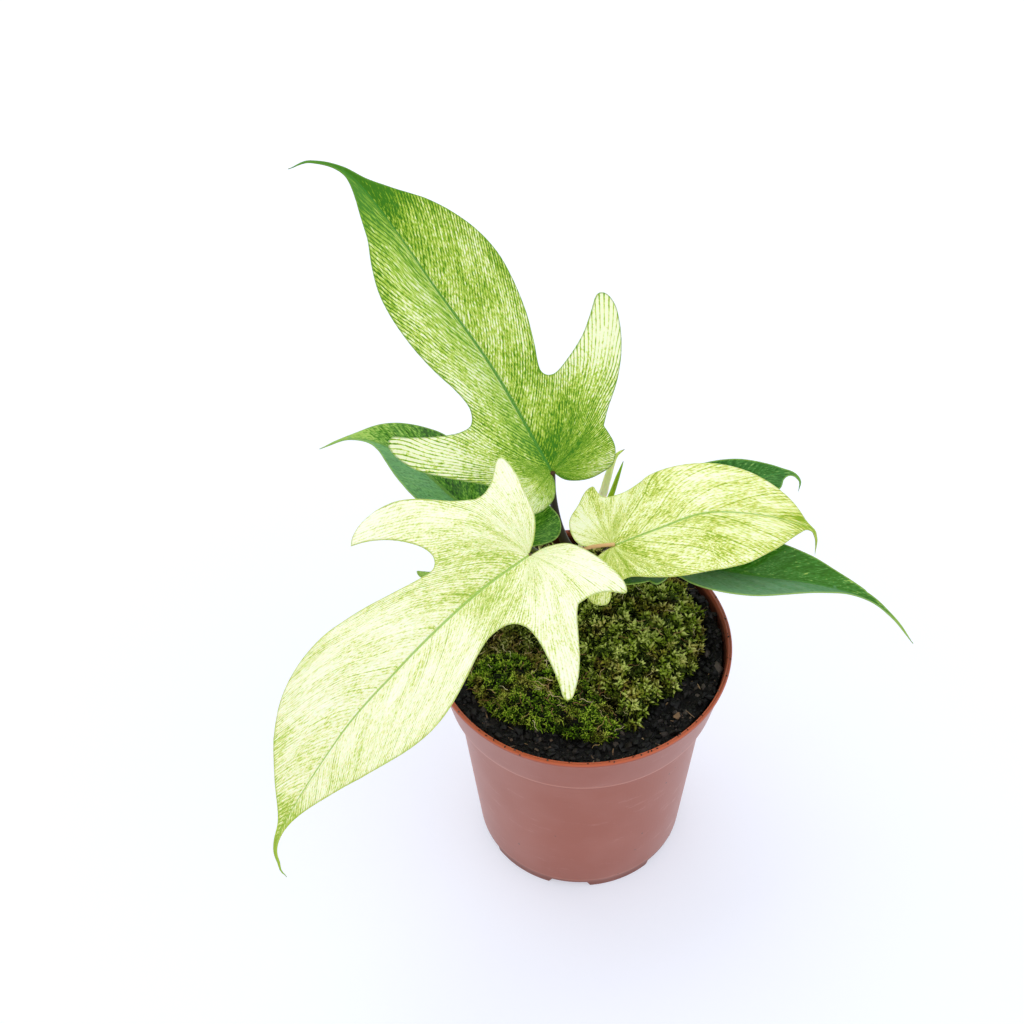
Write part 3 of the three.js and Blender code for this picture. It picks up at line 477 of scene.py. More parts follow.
# The blades: thin leathery leaves, lobed like an arrowhead with side horns, folded a little along a sunken
# midrib and drawn out into a curled drip tip. Every one is drawn flat, as two margins, and then bent along
# its midrib, each half rising from it by fold degrees and arching over by droop degrees in every 10 mm.
LEAVES = {
    "a": dict(
        rib=[(-11, 44, 168), (-33, 70, 199), (-55, 90, 225), (-72, 106, 245), (-87, 118, 259),
             (-101, 120, 264), (-110, 116, 264)],
        sky=(0.08, -0.26, 1), fold=20.5, droop=4.7, slot="blade_mottled",
        right=[
            [(0, 0), (-6, 3), (-10, 10), (-11, 17), (-10, 23), (-4, 27), (5, 27)],
            [(5, 27), (10, 32), (17, 40), (25.5, 47.7), (31.6, 52.3), (37.3, 55.4), (41.6, 56.9),
             (45.6, 56.5), (47.6, 54.2), (47.2, 51.1), (43.4, 45), (39.1, 37.8), (35, 28), (32.6, 19.5),
             (36.5, 15.8), (47, 19.6), (58, 24), (70, 27), (82, 28.2), (94, 26.6), (105, 22.6), (115, 17),
             (126, 9)],
            [(126, 9), (135, 3.3), (144, 1.3), (151, 0.8), (158, 0.5)]],
        left=[
            [(0, 0), (-6, -2), (-10, -7), (-11, -15), (-8, -23), (-2, -26), (5, -26)],
            [(5, -26), (10, -30.5), (15.5, -37.5), (21.5, -44.7), (28.3, -51.2), (34, -54.4), (38.8, -56.2),
             (42.8, -56.9), (45.8, -56.4), (47.4, -55), (46.9, -52.6), (43.6, -49), (38.6, -41.7),
             (35, -35), (32.6, -28.5), (32.8, -22.8), (38.5, -19.8), (48, -21), (60, -24), (72, -26),
             (84, -26), (96, -24), (107, -19.5), (118, -13), (130, -7)],
            [(130, -7), (141, -2.6), (148, -1.1), (158, -0.5)]]),
    "b": dict(
        rib=[(-21, -10, 180), (-38, -24, 178.5), (-55, -40, 175), (-70, -55, 170), (-90, -76, 161),
             (-112, -107, 145.5), (-112.5, -117.5, 139), (-110, -120.5, 136)],
        sky=(-0.73, -0.72, 1), fold=22.3, droop=9.2, slot="blade_cream",
        right=[
            [(0, 0), (-6, 4), (-12, 11), (-16.1, 21.3), (-18.5, 27.8), (-20.2, 34.5), (-20.9, 39.7),
             (-19.9, 41.3), (-17.2, 40), (-13.3, 36.5), (-8.7, 32.7), (-3, 30.5), (1, 31)],
            [(1, 31), (7, 36), (12, 43), (16.5, 51), (20.3, 58.3), (24.6, 63.6), (30.5, 64.4), (36.4, 60.8),
             (40.6, 56)],
            [(40.6, 56), (36.8, 51.6), (32.9, 44), (29.3, 34.8), (27.1, 27.5), (27.4, 21.6), (31, 18),
             (38, 19), (47, 22), (57, 26), (68, 29), (79, 30.6), (90, 30.1), (101, 26.8), (113, 20)],
            [(113, 20), (125, 11), (135.5, 3), (143, 1.1), (151, 0.5)]],
        left=[
            [(0, 0), (-7, -1.5), (-13, -6.5), (-16.3, -15.6), (-17.6, -23.5), (-17.7, -30.2), (-17.1, -35),
             (-15.9, -37.7), (-14.7, -38.5), (-13, -37.2), (-10.5, -34.7), (-7, -32.6), (-3, -31.4),
             (2, -31)],
            [(2, -31), (5, -34), (9, -39.5), (12.2, -43.5), (16.3, -47.9), (22, -52.4), (27.8, -56),
             (31.9, -57.9), (34.3, -57.3), (34.6, -55.4), (32.8, -52), (30.4, -47), (28, -41), (25.5, -34),
             (24.6, -26.6), (28.6, -21.6), (37, -20.4), (46, -22.5), (56, -26), (66, -29), (76, -30),
             (87, -29), (98, -26), (109, -20.5)],
            [(109, -20.5), (120, -13), (130, -5.6), (139, -1.6), (151, -0.5)]]),
    "c": dict(
        rib=[(11.5, 8, 163.5), (30, 11.5, 169.5), (48, 16.5, 172), (69.5, 16.5, 170), (87, 14.5, 165),
             (90.7, 12, 161.5), (90.5, 8, 155)],
        sky=(0.06, 0.01, 1), fold=7.7, droop=5, slot="blade_lime",
        right=[
            [(0, 0), (-6, 2.4), (-11, 7), (-14, 14), (-14.6, 19.5), (-13.6, 23.3), (-11.1, 25.6),
             (-8.5, 26.3), (-6.7, 24.9), (-5.6, 22)],
            [(-5.6, 22), (-3, 19.4), (3, 18.4), (11, 21.7), (20.4, 25.6), (31, 28.3), (42, 28.8), (53, 26),
             (61, 20.6), (66.8, 16), (71.8, 10.6), (77, 4)],
            [(77, 4), (79, 1.7), (83, 0.7), (87, 0.4)]],
        left=[
            [(0, 0), (-5.5, -2.1), (-10.6, -4.4), (-12.8, -7.3), (-13.7, -10.9), (-13.9, -14.7),
             (-13.3, -18.3), (-11.8, -20.9), (-9.8, -22.8), (-7.4, -25.2), (-4.9, -28.8), (-2.3, -31.3),
             (-0.2, -31.5), (0.6, -28.1), (1.4, -25)],
            [(1.4, -25), (4, -22.9), (10.3, -22.6), (19.9, -24.6), (31, -25.4), (43, -25.1), (50.5, -23.6),
             (58, -20.6), (64.3, -16.4), (70.5, -10.9), (78, -3)],
            [(78, -3), (81, -1), (87, -0.4)]]),
    "d": dict(
        rib=[(-28, 21, 151.5), (-50, 41, 156.5), (-62, 55, 157.5), (-78, 72, 155), (-93, 80, 151),
             (-106, 80, 145)],
        sky=(-0.1, -0.1, 1), fold=15, droop=5, slot="blade_dark",
        right=[
            [(0, 0), (-5, 2), (-10, 6.5), (-13, 12), (-12, 17), (-7, 21), (2, 22)],
            [(2, 22), (7, 27.5), (13, 33), (20, 37), (27, 38)],
            [(27, 38), (27, 33), (24, 26), (21.6, 19.8), (25, 15.6), (33, 16), (44, 17.5), (54, 17), (62, 15),
             (70, 12), (78, 8), (86, 3.2), (92, 1), (98, 0.5)]],
        left=[
            [(0, 0), (-5, -2), (-10, -6.5), (-12, -12), (-11, -17), (-7, -20.5), (1, -21)],
            [(1, -21), (4.2, -26), (8, -31), (12, -35.2), (15, -36.5), (17.1, -35.6), (15.4, -34),
             (13, -31.8), (11.4, -28.3), (11.2, -23.5), (14, -17.6), (21, -13), (33, -12), (44, -12.2),
             (54, -10.5), (64, -7.5), (73, -4), (80, -1.7), (89, -0.8), (98, -0.5)]]),
    "e": dict(
        rib=[(20, 4, 154.5), (45, 0, 159), (64, -3, 157.5), (89, -2.5, 150.7), (110, -3, 142),
             (121, -7.5, 135), (129, -14.5, 127)],
        sky=(0, 0, 1), fold=25, droop=5, slot="blade_dark",
        right=[
            [(0, 0), (-5, 2.5), (-8.5, 7.5), (-7.5, 11.3), (-3, 12.6), (2, 12.9), (5.4, 12.8), (8, 11.6)],
            [(8, 11.6), (9.4, 13), (11.3, 13.4), (13.4, 11.2), (14.8, 8.4), (17, 7)],
            [(17, 7), (20, 9.2), (23.6, 12.4), (29, 15.4), (36, 17.1), (46, 16.5), (57.5, 13), (67, 9.5),
             (76, 6), (85, 2.4), (95, 1.2), (105, 0.8), (114, 0.5)]],
        left=[
            [(0, 0), (-6, -3), (-10, -9), (-9, -14), (-3, -15)],
            [(-3, -15), (5, -14), (12, -12.2), (19, -11)],
            [(19, -11), (27, -14.5), (36, -17.5), (46, -17.5), (58, -14.5), (70, -11), (82, -6.5),
             (93, -3)],
            [(93, -2.6), (103, -1), (114, -0.5)]]),
    "f": dict(
        rib=[(24, 32, 151), (44, 40.5, 155.5), (67, 47.5, 155.5), (84, 55, 151.5), (90, 55, 147),
             (89.5, 52, 143)],
        sky=(-0.1, -0.3, 1), fold=15, droop=5, slot="blade_dark",
        right=[
            [(0, 0), (-4, 2), (-7, 6), (-7, 10), (-2, 11.5)],
            [(-2, 11.5), (4, 10.5), (9, 9)],
            [(9, 9), (17, 11), (27, 13), (37, 13), (46, 12), (53, 9.9), (58.6, 7.4), (62.5, 3.6),
             (67.5, 1.1), (74, 0.4)]],
        left=[
            [(0, 0), (-4, -2), (-7, -6), (-7, -10), (-2, -11)],
            [(-2, -11), (4, -9.6), (9, -8.6)],
            [(9, -8.6), (17, -9.9), (27, -11), (35, -11), (41, -10.5), (47, -9.4), (53, -7.4), (60, -4.3),
             (66, -1.5), (74, -0.4)]]),
}
BLADE_THICKNESS = 0.4
BLADE_GRID = 1.3
MARGIN_STEPS = 6
EDGE_PARTS = 4
VEIN_SPACING = 7.0
VEIN_WANDER, WANDER_LENGTH = 0.9, 17
LOBE_VEIN_SPREAD = 40
LOBE_VEIN_ROUNDS = 6
GROOVE_DEPTH, GROOVE_HALF_WIDTH = 0.5, 1.1
QUILT_HEIGHT = 0.2
WAVE_HEIGHT, WAVE_LENGTH, WAVE_REACH = 0.4, 31, 9


def margin(stretches):
    """The flat margin through its stretches, which meet at the points of lobes and in some bays."""
    points = []
    for stretch in stretches:
        points += smooth_line([(u, v, 0) for u, v in stretch], MARGIN_STEPS, 0)[1:]
    return points


class BladeForm:
    """The bent blade's middle face: at(u, v, lift) is a point over it, u along the midrib and v across it."""

    def __init__(self, leaf):
        self.route = Route(leaf["rib"])
        self.length = self.route.length
        self.sky = Vector(leaf["sky"])
        self.fold = math.radians(leaf["fold"])
        self.bend = math.radians(leaf["droop"]) / 10

    def at(self, u, v, lift):
        on_rib = min(max(u, 0), self.length)
        middle, along = self.route.at(on_rib)
        across = along.cross(self.sky).normalized()
        up = across.cross(along)
        slope = self.fold - self.bend * abs(v)
        reach = (math.sin(self.fold) - math.sin(slope)) / self.bend
        rise = (math.cos(slope) - math.cos(self.fold)) / self.bend
        side = math.copysign(1, v) if abs(v) > 1e-6 else 0
        normal = up * math.cos(slope) - across * side * math.sin(slope) if side else up
        return middle + along * (u - on_rib) + across * side * reach + up * rise + normal * lift


def vein_place(u, v, lean, gain, bend):
    """How far along its side vein a point lies, and which vein that is, as the width of those before it.
    The veins lie down more along the midrib, by gain, and towards the margin, by bend. Those of the lobes all
    leave the blade's foot, and are told apart by the angle between them."""
    w = abs(v)
    start = (u - lean * w - bend * w * w) / (1 + gain * w)
    if start >= 0:
        return math.hypot(u - start, v), start / math.hypot(1, lean + gain * start / 2)
    radius = math.hypot(u, v)
    out = radius / 2
    for _ in range(LOBE_VEIN_ROUNDS):
        out = radius / math.hypot(1, lean + bend * out)
    return radius, LOBE_VEIN_SPREAD * (math.atan2(out, lean * out + bend * out * out) - math.atan2(w, u))


def blade(leaf, look):
    """The blade's middle face in small cells, bent, veined and marked with its places along the veins."""
    form = BladeForm(leaf)
    outline = [Vector((0, 0, 0)), *margin(leaf["right"]), Vector((form.length, 0, 0)),
               *reversed(margin(leaf["left"]))]
    shape = bmesh.new()
    shape.faces.new([shape.verts.new(point) for point in outline])
    for i, normal in enumerate([(1, 0, 0), (0, 1, 0)]):
        low, high = min(point[i] for point in outline), max(point[i] for point in outline)
        for step in range(math.ceil(low / BLADE_GRID), math.ceil(high / BLADE_GRID)):
            cut_across(shape, Vector(normal) * (step * BLADE_GRID), normal, 1e-4)
    bmesh.ops.triangulate(shape, faces=[face for face in shape.faces if len(face.verts) > 4])
    edge_points = kdtree.KDTree(EDGE_PARTS * len(outline))
    for index, (a, b) in enumerate(zip(outline, outline[1:] + outline[:1])):
        for part in range(EDGE_PARTS):
            edge_points.insert(a.lerp(b, part / EDGE_PARTS), EDGE_PARTS * index + part)
    edge_points.balance()
    veins = shape.verts.layers.float_vector.new("veins")
    flat = shape.verts.layers.float_vector.new("flat")
    shade = shape.verts.layers.float_vector.new("shade")
    lean, gains, bend = look["veins"]
    side, sheen_reach, sheen_most = look["painted_sheen"]
    for vert in shape.verts:
        u, v = vert.co.x, vert.co.y
        inset = edge_points.find(vert.co)[2]
        along, across = vein_place(u, v, lean, gains[v < 0] / form.length, bend)
        across += VEIN_WANDER * noise.noise(Vector((u / WANDER_LENGTH, v / WANDER_LENGTH, 0)))
        fade = max(0, 1 - u / form.length)
        rib = look["rib_width"] / 2 * max(0.22, min(1, fade ** 0.8)) * (0.6 + 0.4 * min(1, abs(u) / 25))
        vert[veins] = (along * MM, across * MM, math.copysign(1, v) * min(1, abs(v)))
        vert[flat] = (abs(v) / rib + max(0, -u), inset * MM, 0)
        pale = sum(amount * math.exp(-((u - a) ** 2 + (v - b) ** 2) / size ** 2)
                   for a, b, size, amount in look["patches"])
        # A greyish sheen of reflected light is painted on one half beside the midrib, fading towards the tip.
        painted_sheen = 0
        if v * side > 0 and u > 0:
            painted_sheen = sheen_most * math.exp(-(v / sheen_reach) ** 2) * min(1, u / 15, fade / 0.15)
        vert[shade] = (look["tone"] + pale, painted_sheen, 0)
        groove = -GROOVE_DEPTH * math.exp(-(v / GROOVE_HALF_WIDTH) ** 2) * (fade ** 0.5 if u > 0 else 1)
        quilt = QUILT_HEIGHT * math.cos(math.tau * across / VEIN_SPACING)
        quilt = quilt * min(1, along / 10) * min(1, inset / 4)
        wave = WAVE_HEIGHT * math.sin(math.tau * along / WAVE_LENGTH + across / 9)
        wave = wave * max(0, 1 - inset / WAVE_REACH) * min(1, along / 12)
        vert.co = form.at(u, v, (groove + quilt + wave) * min(1, fade / 0.08))
    return shape


def blade_finish(name, look):
    """Living leaf, grown: a waxy skin over tissue with and without green in it. The eye gets a grain of
    green and pale cells drawn out along the veins, thin lines over them, and a soft shine on the arched
    halves. Real cells are under 0.1 mm and real lines about 0.5 mm apart, too fine to show. So the finest
    grain is of clumps 0.8 to 1.1 mm long, and the lines are 1 to 1.4 mm apart."""
    material, tree, shader = new_finish(name, Roughness=look["gloss"], IOR=1.45, Subsurface_Weight=0.1,
                                        Subsurface_Scale=0.8 * MM, Specular_IOR_Level=0.22)
    places = {layer: add_node(tree, "Attribute", attribute_name=layer).outputs["Vector"]
              for layer in ("veins", "flat", "shade")}
    vein_parts, flat_parts, shade_parts = [add_node(tree, "SeparateXYZ", {"Vector": place}).outputs
                                           for place in places.values()]
    # The grain is noise on the places along the veins. Its third scale keeps the blade's two halves apart.
    tone = shade_parts["X"]
    for along, across, weight in look["grains"]:
        drawn_out = add_node(tree, "Mapping", {"Vector": places["veins"],
                                               "Scale": (1 / (along * MM), 1 / (across * MM), 5)})
        grain = add_node(tree, "TexNoise", {"Vector": drawn_out, "Scale": 1, "Detail": 2})
        tone = add_node(tree, "Math", {0: grain, 1: weight, 2: tone}, operation="MULTIPLY_ADD")
        tone = add_node(tree, "Math", {0: tone, 1: weight / 2}, operation="SUBTRACT")
    # The fine lines break up with the grain and are stronger at the margin. The clear ones are side veins.
    lines = []
    for spacing, start, end in [(look["fine_spacing"], 0.3, 0.95), (VEIN_SPACING, 0.975, 0.995)]:
        turn = add_node(tree, "Math", {0: vein_parts["Y"], 1: math.tau / (spacing * MM), 2: vein_parts["Z"]},
                        operation="MULTIPLY_ADD")
        crest = add_node(tree, "Math", {0: turn}, operation="COSINE")
        lines.append(add_node(tree, "MapRange", {"Value": crest, "From Min": start, "From Max": end}))
    broken = add_node(tree, "MapRange", {"Value": grain, "From Min": 0.25, "From Max": 0.6,
                                         "To Min": 0.5 * look["fine"], "To Max": look["fine"]})
    crowded = add_node(tree, "MapRange", {"Value": flat_parts["Y"], "From Max": 9 * MM, "To Min": 2.0,
                                          "To Max": 1.0})
    fine = add_node(tree, "Math", {0: broken, 1: crowded}, operation="MULTIPLY")
    for line, depth in zip(lines, (fine, look["clear"])):
        cut = add_node(tree, "Math", {0: line, 1: depth}, operation="MULTIPLY")
        tone = add_node(tree, "Math", {0: tone, 1: cut}, operation="SUBTRACT")
    # Over the tissue's colour come the painted sheen of reflected light, in streaks, then the midrib and the
    # pale rim.
    streaks = add_node(tree, "MapRange", {"Value": grain, "From Min": 0.3, "From Max": 0.7, "To Min": 0.55,
                                          "To Max": 1.25})
    painted_sheen = add_node(tree, "Math", {0: shade_parts["Y"], 1: streaks}, operation="MULTIPLY", use_clamp=True)
    middle = add_node(tree, "MapRange", {"Value": flat_parts["X"], "From Min": 1.25, "From Max": 0.7,
                                         "To Max": look["rib_strength"]})
    rim = add_node(tree, "MapRange", {"Value": flat_parts["Y"], "From Min": 0.65 * MM, "From Max": 0.25 * MM,
                                      "To Max": 0.65})
    tissue = add_node(tree, "ValToRGB", {"Fac": tone}, stops=look["tissue"])
    for part, code in [(painted_sheen, look["painted_sheen_colour"]), (middle, look["rib"]), (rim, look["rim"])]:
        tissue = add_node(tree, "Mix", {"Factor": part, "A": tissue, "B": linear(code)}, data_type="RGBA")
    skin = add_node(tree, "Bump", {"Height": grain, "Strength": 0.2, "Distance": 0.1 * MM})
    wire(tree, shader, {"Base Color": tissue, "Normal": skin})
    return material


# How each blade looks: its veins' lean, their gains on the right and left, and their bend; its midrib; how
# pale its tissue is on the whole, as tone, and in patches (u, v, size, amount); the grain (length, width,
# weight) of its cells; and the greyish sheen of reflected light painted on one half (side, reach, most),
# where it has one.
DARK = dict(veins=(0.8, (2, 2), 0.01), fine=0.1, fine_spacing=1.4,
            grains=[(22, 9, 0.9), (4, 1.2, 1.4), (1.1, 0.7, 1.9)])
NO_PAINTED_SHEEN = dict(painted_sheen=(1, 1, 0), painted_sheen_colour="ffffff")
BLADE_LOOKS = {
    "a": dict(
        gloss=0.4, veins=(0.8, (2.0, 4.5), 0.02), rib="438c2c", rib_width=1.8, rib_strength=0.85,
        rim="6f9c30", clear=0.3,
        tissue=[(0, "3c7c08"), (0.2, "76a418"), (0.4, "9abe32"), (0.58, "b9d455"), (0.76, "d6e882"),
                (1, "f3facf")],
        tone=0.67, fine=0.5, fine_spacing=1.1, grains=[(16, 9, 1.1), (2.4, 0.9, 1.7), (0.9, 0.6, 1.4)],
        painted_sheen=(-1, 12, 0.28), painted_sheen_colour="70ac50",
        patches=[(150, 0, 26, -1.1), (172, 0, 9, 1.0), (120, 8, 18, -0.2), (40, 46, 26, 0.55),
                 (34, -42, 26, 0.42), (0, 12, 15, -0.38), (18, 20, 12, -0.25), (37, 14, 8, -0.2),
                 (10, -6, 15, -0.38), (80, -24, 12, 0.1), (62, 18, 18, -0.08), (-4, -20, 10, 0.5),
                 (-10, 18, 8, 0.4)]),
    "b": dict(
        NO_PAINTED_SHEEN, gloss=0.42, veins=(0.8, (0.6, 0.6), 0.035), rib="94bf45", rib_width=1.6, rib_strength=0.8,
        rim="b4cc4c", clear=0.3,
        tissue=[(0, "96b63c"), (0.22, "c0d464"), (0.4, "dfe898"), (0.56, "f1f5c4"), (0.74, "f7f9d6"),
                (1, "fafbe2")],
        tone=0.68, fine=0.22, fine_spacing=1.2, grains=[(18, 9, 1.0), (2.8, 1.1, 1.1), (0.9, 0.65, 1.4)],
        patches=[(150, 0, 20, -0.75), (18, 8, 20, -0.28), (24, -12, 14, -0.16), (22, -50, 18, 0.12),
                 (-16, 34, 14, 0.15), (32, 58, 18, 0.15), (-12, -26, 14, 0.18), (120, 22, 14, -0.18),
                 (116, -22, 14, -0.18)]),
    "c": dict(
        NO_PAINTED_SHEEN, gloss=0.4, veins=(0.75, (4.0, 3.5), 0.01), rib="84b440", rib_width=1.3, rib_strength=0.8,
        rim="c6d867", clear=0.25,
        tissue=[(0, "86a820"), (0.22, "b0c440"), (0.4, "d0dc6c"), (0.58, "e6ee9c"), (0.76, "f2f8bc"),
                (1, "f9fddc")],
        tone=0.62, fine=0.2, fine_spacing=1.0, grains=[(14, 7, 1.4), (2.4, 1.0, 1.2), (0.8, 0.55, 1.8)],
        patches=[(2, 10, 13, -0.25), (42, 14, 24, -0.08), (34, -14, 24, 0.06), (84, 0, 12, -0.5),
                 (-9, -14, 9, 0.3), (4, -8, 7, -0.2)]),
    "d": dict(
        DARK, gloss=0.3, rib="6f9c3c", rib_width=1.5, rib_strength=0.6, rim="9cc25e", clear=0.15,
        tissue=[(0, "1e4a02"), (0.3, "3a720e"), (0.55, "558e20"), (0.8, "7cae3c"), (1, "a8cc60")],
        tone=0.44, painted_sheen=(-1, 26, 0.75), painted_sheen_colour="74ac74", patches=[(100, 0, 22, 0.9), (15, -36, 9, 0.9)]),
    "e": dict(
        DARK, gloss=0.28, rib="4d8a3a", rib_width=1.5, rib_strength=0.5, rim="a3c659", clear=0.12,
        tissue=[(0, "2e6404"), (0.3, "36720c"), (0.55, "428024"), (0.8, "52903a"), (1, "a3c659")],
        tone=0.5, painted_sheen=(1, 200, 0.75), painted_sheen_colour="6e9a72", patches=[(122, 0, 18, 0.9)]),
    "f": dict(
        DARK, **NO_PAINTED_SHEEN, gloss=0.3, rib="4f9444", rib_width=1.4, rib_strength=0.5, rim="8fbf4a", clear=0.12,
        tissue=[(0, "245a12"), (0.3, "306c1c"), (0.55, "3e7a2a"), (0.8, "4f8c3c"), (1, "8ab65a")],
        tone=0.46, patches=[(80, 0, 12, 0.5)]),
}
for name, leaf in LEAVES.items():
    look = BLADE_LOOKS[name]
    tissue = blade_finish(f"leaf skin {name}", look)
    piece = add_piece(f"leaf_blade_{name}", blade(leaf, look), tissue, leaf["slot"], f"blade_{name}")
    wall = piece.modifiers.new("thickness", "SOLIDIFY")
    wall.thickness = BLADE_THICKNESS * MM
    wall.offset = 0

# The new leaf stands rolled up in a tight cream quill with a green hooked tip, and beside it the cataphyll,
# the pointed bright green sheath that it came out of. Both rise from the stem's top behind the young leaf.
SHOOTS = {
    "new_leaf": dict(
        route=[(0.5, 35.4, 130.9), (5, 42, 140), (9.5, 47.5, 147.5), (11.8, 50.5, 155.5), (13.8, 52.5, 162.3),
               (15.6, 53.5, 166.2), (18.3, 53, 169.6)],
        widths=[(0, 1.2), (0.1, 1.7), (0.5, 2), (0.7, 1.7), (0.85, 1.1), (0.95, 0.6), (1, 0.15)],
        colours=("fbf9d0", "fbf9c4", "cfe070", "f2f6b4"), seam=0.22),
    "cataphyll": dict(
        route=[(4, 37, 131), (8.5, 43.5, 138.5), (13, 49.5, 145), (15.8, 53, 152.5), (18.3, 56, 159.5)],
        widths=[(0, 1), (0.1, 1.4), (0.5, 1.4), (0.8, 0.9), (0.95, 0.4), (1, 0.12)],
        colours=("b4d03c", "a0c41c", "86a818", "b4d23c"), seam=0.1),
}
for name, shoot in SHOOTS.items():
    widths, seam = shoot["widths"], shoot["seam"]

    def shoot_radius(share, angle):
        """Its width between two marks, less the step where the roll's outer edge overlaps."""
        after = next(i for i, (mark, _) in enumerate(widths) if mark >= share - 1e-6)
        (start, a), (end, b) = widths[max(after - 1, 0)], widths[max(after, 1)]
        radius = a + (b - a) * (share - start) / (end - start)
        return radius * (1 - seam * (angle + math.pi) / math.tau)

    skin = stalk_finish(f"young sheath skin {name}", *shoot["colours"], clearness=0.6)
    add_piece(f"{name}_shoot", stalk(shoot["route"], shoot_radius, 28, 60), skin, name, name)

# The moss: three cushions of living moss laid on the soil round the stem, each a low mound of short leafy
# shoots: a broad-leaved olive one, a fine bright green one in front and a duller, threadlike one on the left.
CUSHIONS = {
    "olive": dict(
        shoots=1200, slot="moss_olive", leaf_width=0.95, sizes=(0.9, 1.9),
        colours=("050702", "364808", "90a82a", "dce880"), aged=("070402", "443a0c", "9a8e34", "d4c878"),
        tiers=[(4, 2.7, 0.4, 32), (4, 2.4, 1.3, 46), (3, 1.8, 2.2, 64), (1, 1.3, 2.7, 85)]),
    "green": dict(
        shoots=1400, slot="moss_green", leaf_width=0.6, sizes=(0.8, 1.7),
        colours=("050702", "283c06", "709c14", "c4da4c"), aged=("070502", "382e0a", "7c7024", "beae60"),
        tiers=[(4, 1.8, 0.3, 28), (4, 1.6, 0.9, 44), (3, 1.1, 1.5, 66)]),
    "dull": dict(
        shoots=1200, slot="moss_dull", leaf_width=0.55, sizes=(0.9, 1.7),
        colours=("050602", "323e0c", "86982e", "d2da86"), aged=("070402", "423210", "8c7e38", "ccc07c"),
        tiers=[(5, 3.0, 0.2, 34), (4, 2.6, 1.0, 50), (3, 2.0, 1.8, 68)]),
}
MOSS_STEM_DEPTH = 1.2
SHOOT_KINDS = 3
TALL_SHOOTS = 1.7
STRANDS_PER_CUSHION = 100
SWELL_HEIGHT, SWELL_SIZE = 1.6, 5.5

moss_leaf = bmesh.new()
bmesh.ops.create_cone(moss_leaf, cap_ends=True, segments=3, radius1=1, radius2=0, depth=1,
                      matrix=Matrix.Translation((0, 0, 0.5)))
cut_across(moss_leaf, (0, 0, 0.45), (0, 0, 1))
for vert in moss_leaf.verts:
    share = vert.co.z
    fullness = 0.5 * math.sin(math.pi * (0.12 + 0.88 * share)) / max(0.01, 1 - share)
    vert.co.x *= 0.25 * fullness
    vert.co.y *= fullness
    vert.co.x += 0.22 * share ** 2
bmesh.ops.recalc_face_normals(moss_leaf, faces=moss_leaf.faces)
moss_leaf_mesh = mesh_of("moss leaf", moss_leaf)


def moss_shoot(tiers, width):
    """One shoot: tiers of pointed leaves (count, length, height, rise) that arch outwards from its stem."""
    shape = bmesh.new()
    tier_layer = shape.verts.layers.float.new("tier")
    leaves = []
    for count, length, height, rise in tiers:
        for i in range(count):
            around = Matrix.Rotation(math.tau * (i + draw.uniform(-0.2, 0.2) + height) / count, 4, "Z")
            lean = Matrix.Rotation(math.radians(90 - rise + draw.uniform(-9, 9)), 4, "Y")
            size = Matrix.Diagonal((length, width, length * draw.uniform(0.85, 1.15), 1))
            leaves.append((Matrix.Translation((0, 0, height)) @ around @ lean @ size, 0))
    scatter(shape, moss_leaf_mesh, leaves, tier_layer)
    top = max(vert.co.z for vert in shape.verts)
    for vert in shape.verts:
        vert[tier_layer] = min(1, (vert.co.z + 0.35 * vert.co.xy.length) / top)
    return mesh_of("moss shoot", shape)


def moss_finish(name, colours, aged):
    """Living moss, soft and matt: near-black painted shade low on the shoots and between them, green on their
    leaves and lighter towards the tips, partly their young growth and partly painted light from above, each
    shoot of its own tint, with older brown patches of 9 mm. The eye gets a deep, speckled pile."""
    material, tree, shader = new_finish(name, Roughness=0.6, IOR=1.4, Specular_IOR_Level=0.2)
    tier, tint = [add_node(tree, "Attribute", attribute_name=layer).outputs["Fac"]
                  for layer in ("tier", "tint")]
    lively = add_node(tree, "Math", {0: tint, 1: 0.75, 2: 0.4}, operation="MULTIPLY_ADD")
    shade = add_node(tree, "Math", {0: tier, 1: lively}, operation="MULTIPLY")
    fresh, old = [add_node(tree, "ValToRGB", {"Fac": shade}, stops=zip((0.2, 0.46, 0.7, 0.96), codes))
                  for codes in (colours, aged)]
    where = add_node(tree, "TexCoord").outputs["Object"]
    patches = add_node(tree, "TexNoise", {"Vector": where, "Scale": 1 / (9 * MM), "Detail": 3})
    brown = add_node(tree, "MapRange", {"Value": patches, "From Min": 0.48, "From Max": 0.62, "To Max": 0.85})
    mixed = add_node(tree, "Mix", {"Factor": brown, "A": fresh, "B": old}, data_type="RGBA")
    wire(tree, shader, {"Base Color": mixed})
    return material


def spots_on(faces, count):
    """Places spread evenly at random over some three-sided faces, each with its face's direction."""
    spots = []
    for face in draw.choices(faces, [face.calc_area() for face in faces], k=count):
        a, b, c = (vert.co for vert in face.verts)
        p, q = draw.random(), draw.random()
        p, q = (1 - p, 1 - q) if p + q > 1 else (p, q)
        spots.append((a + p * (b - a) + q * (c - a), face.normal.copy()))
    return spots


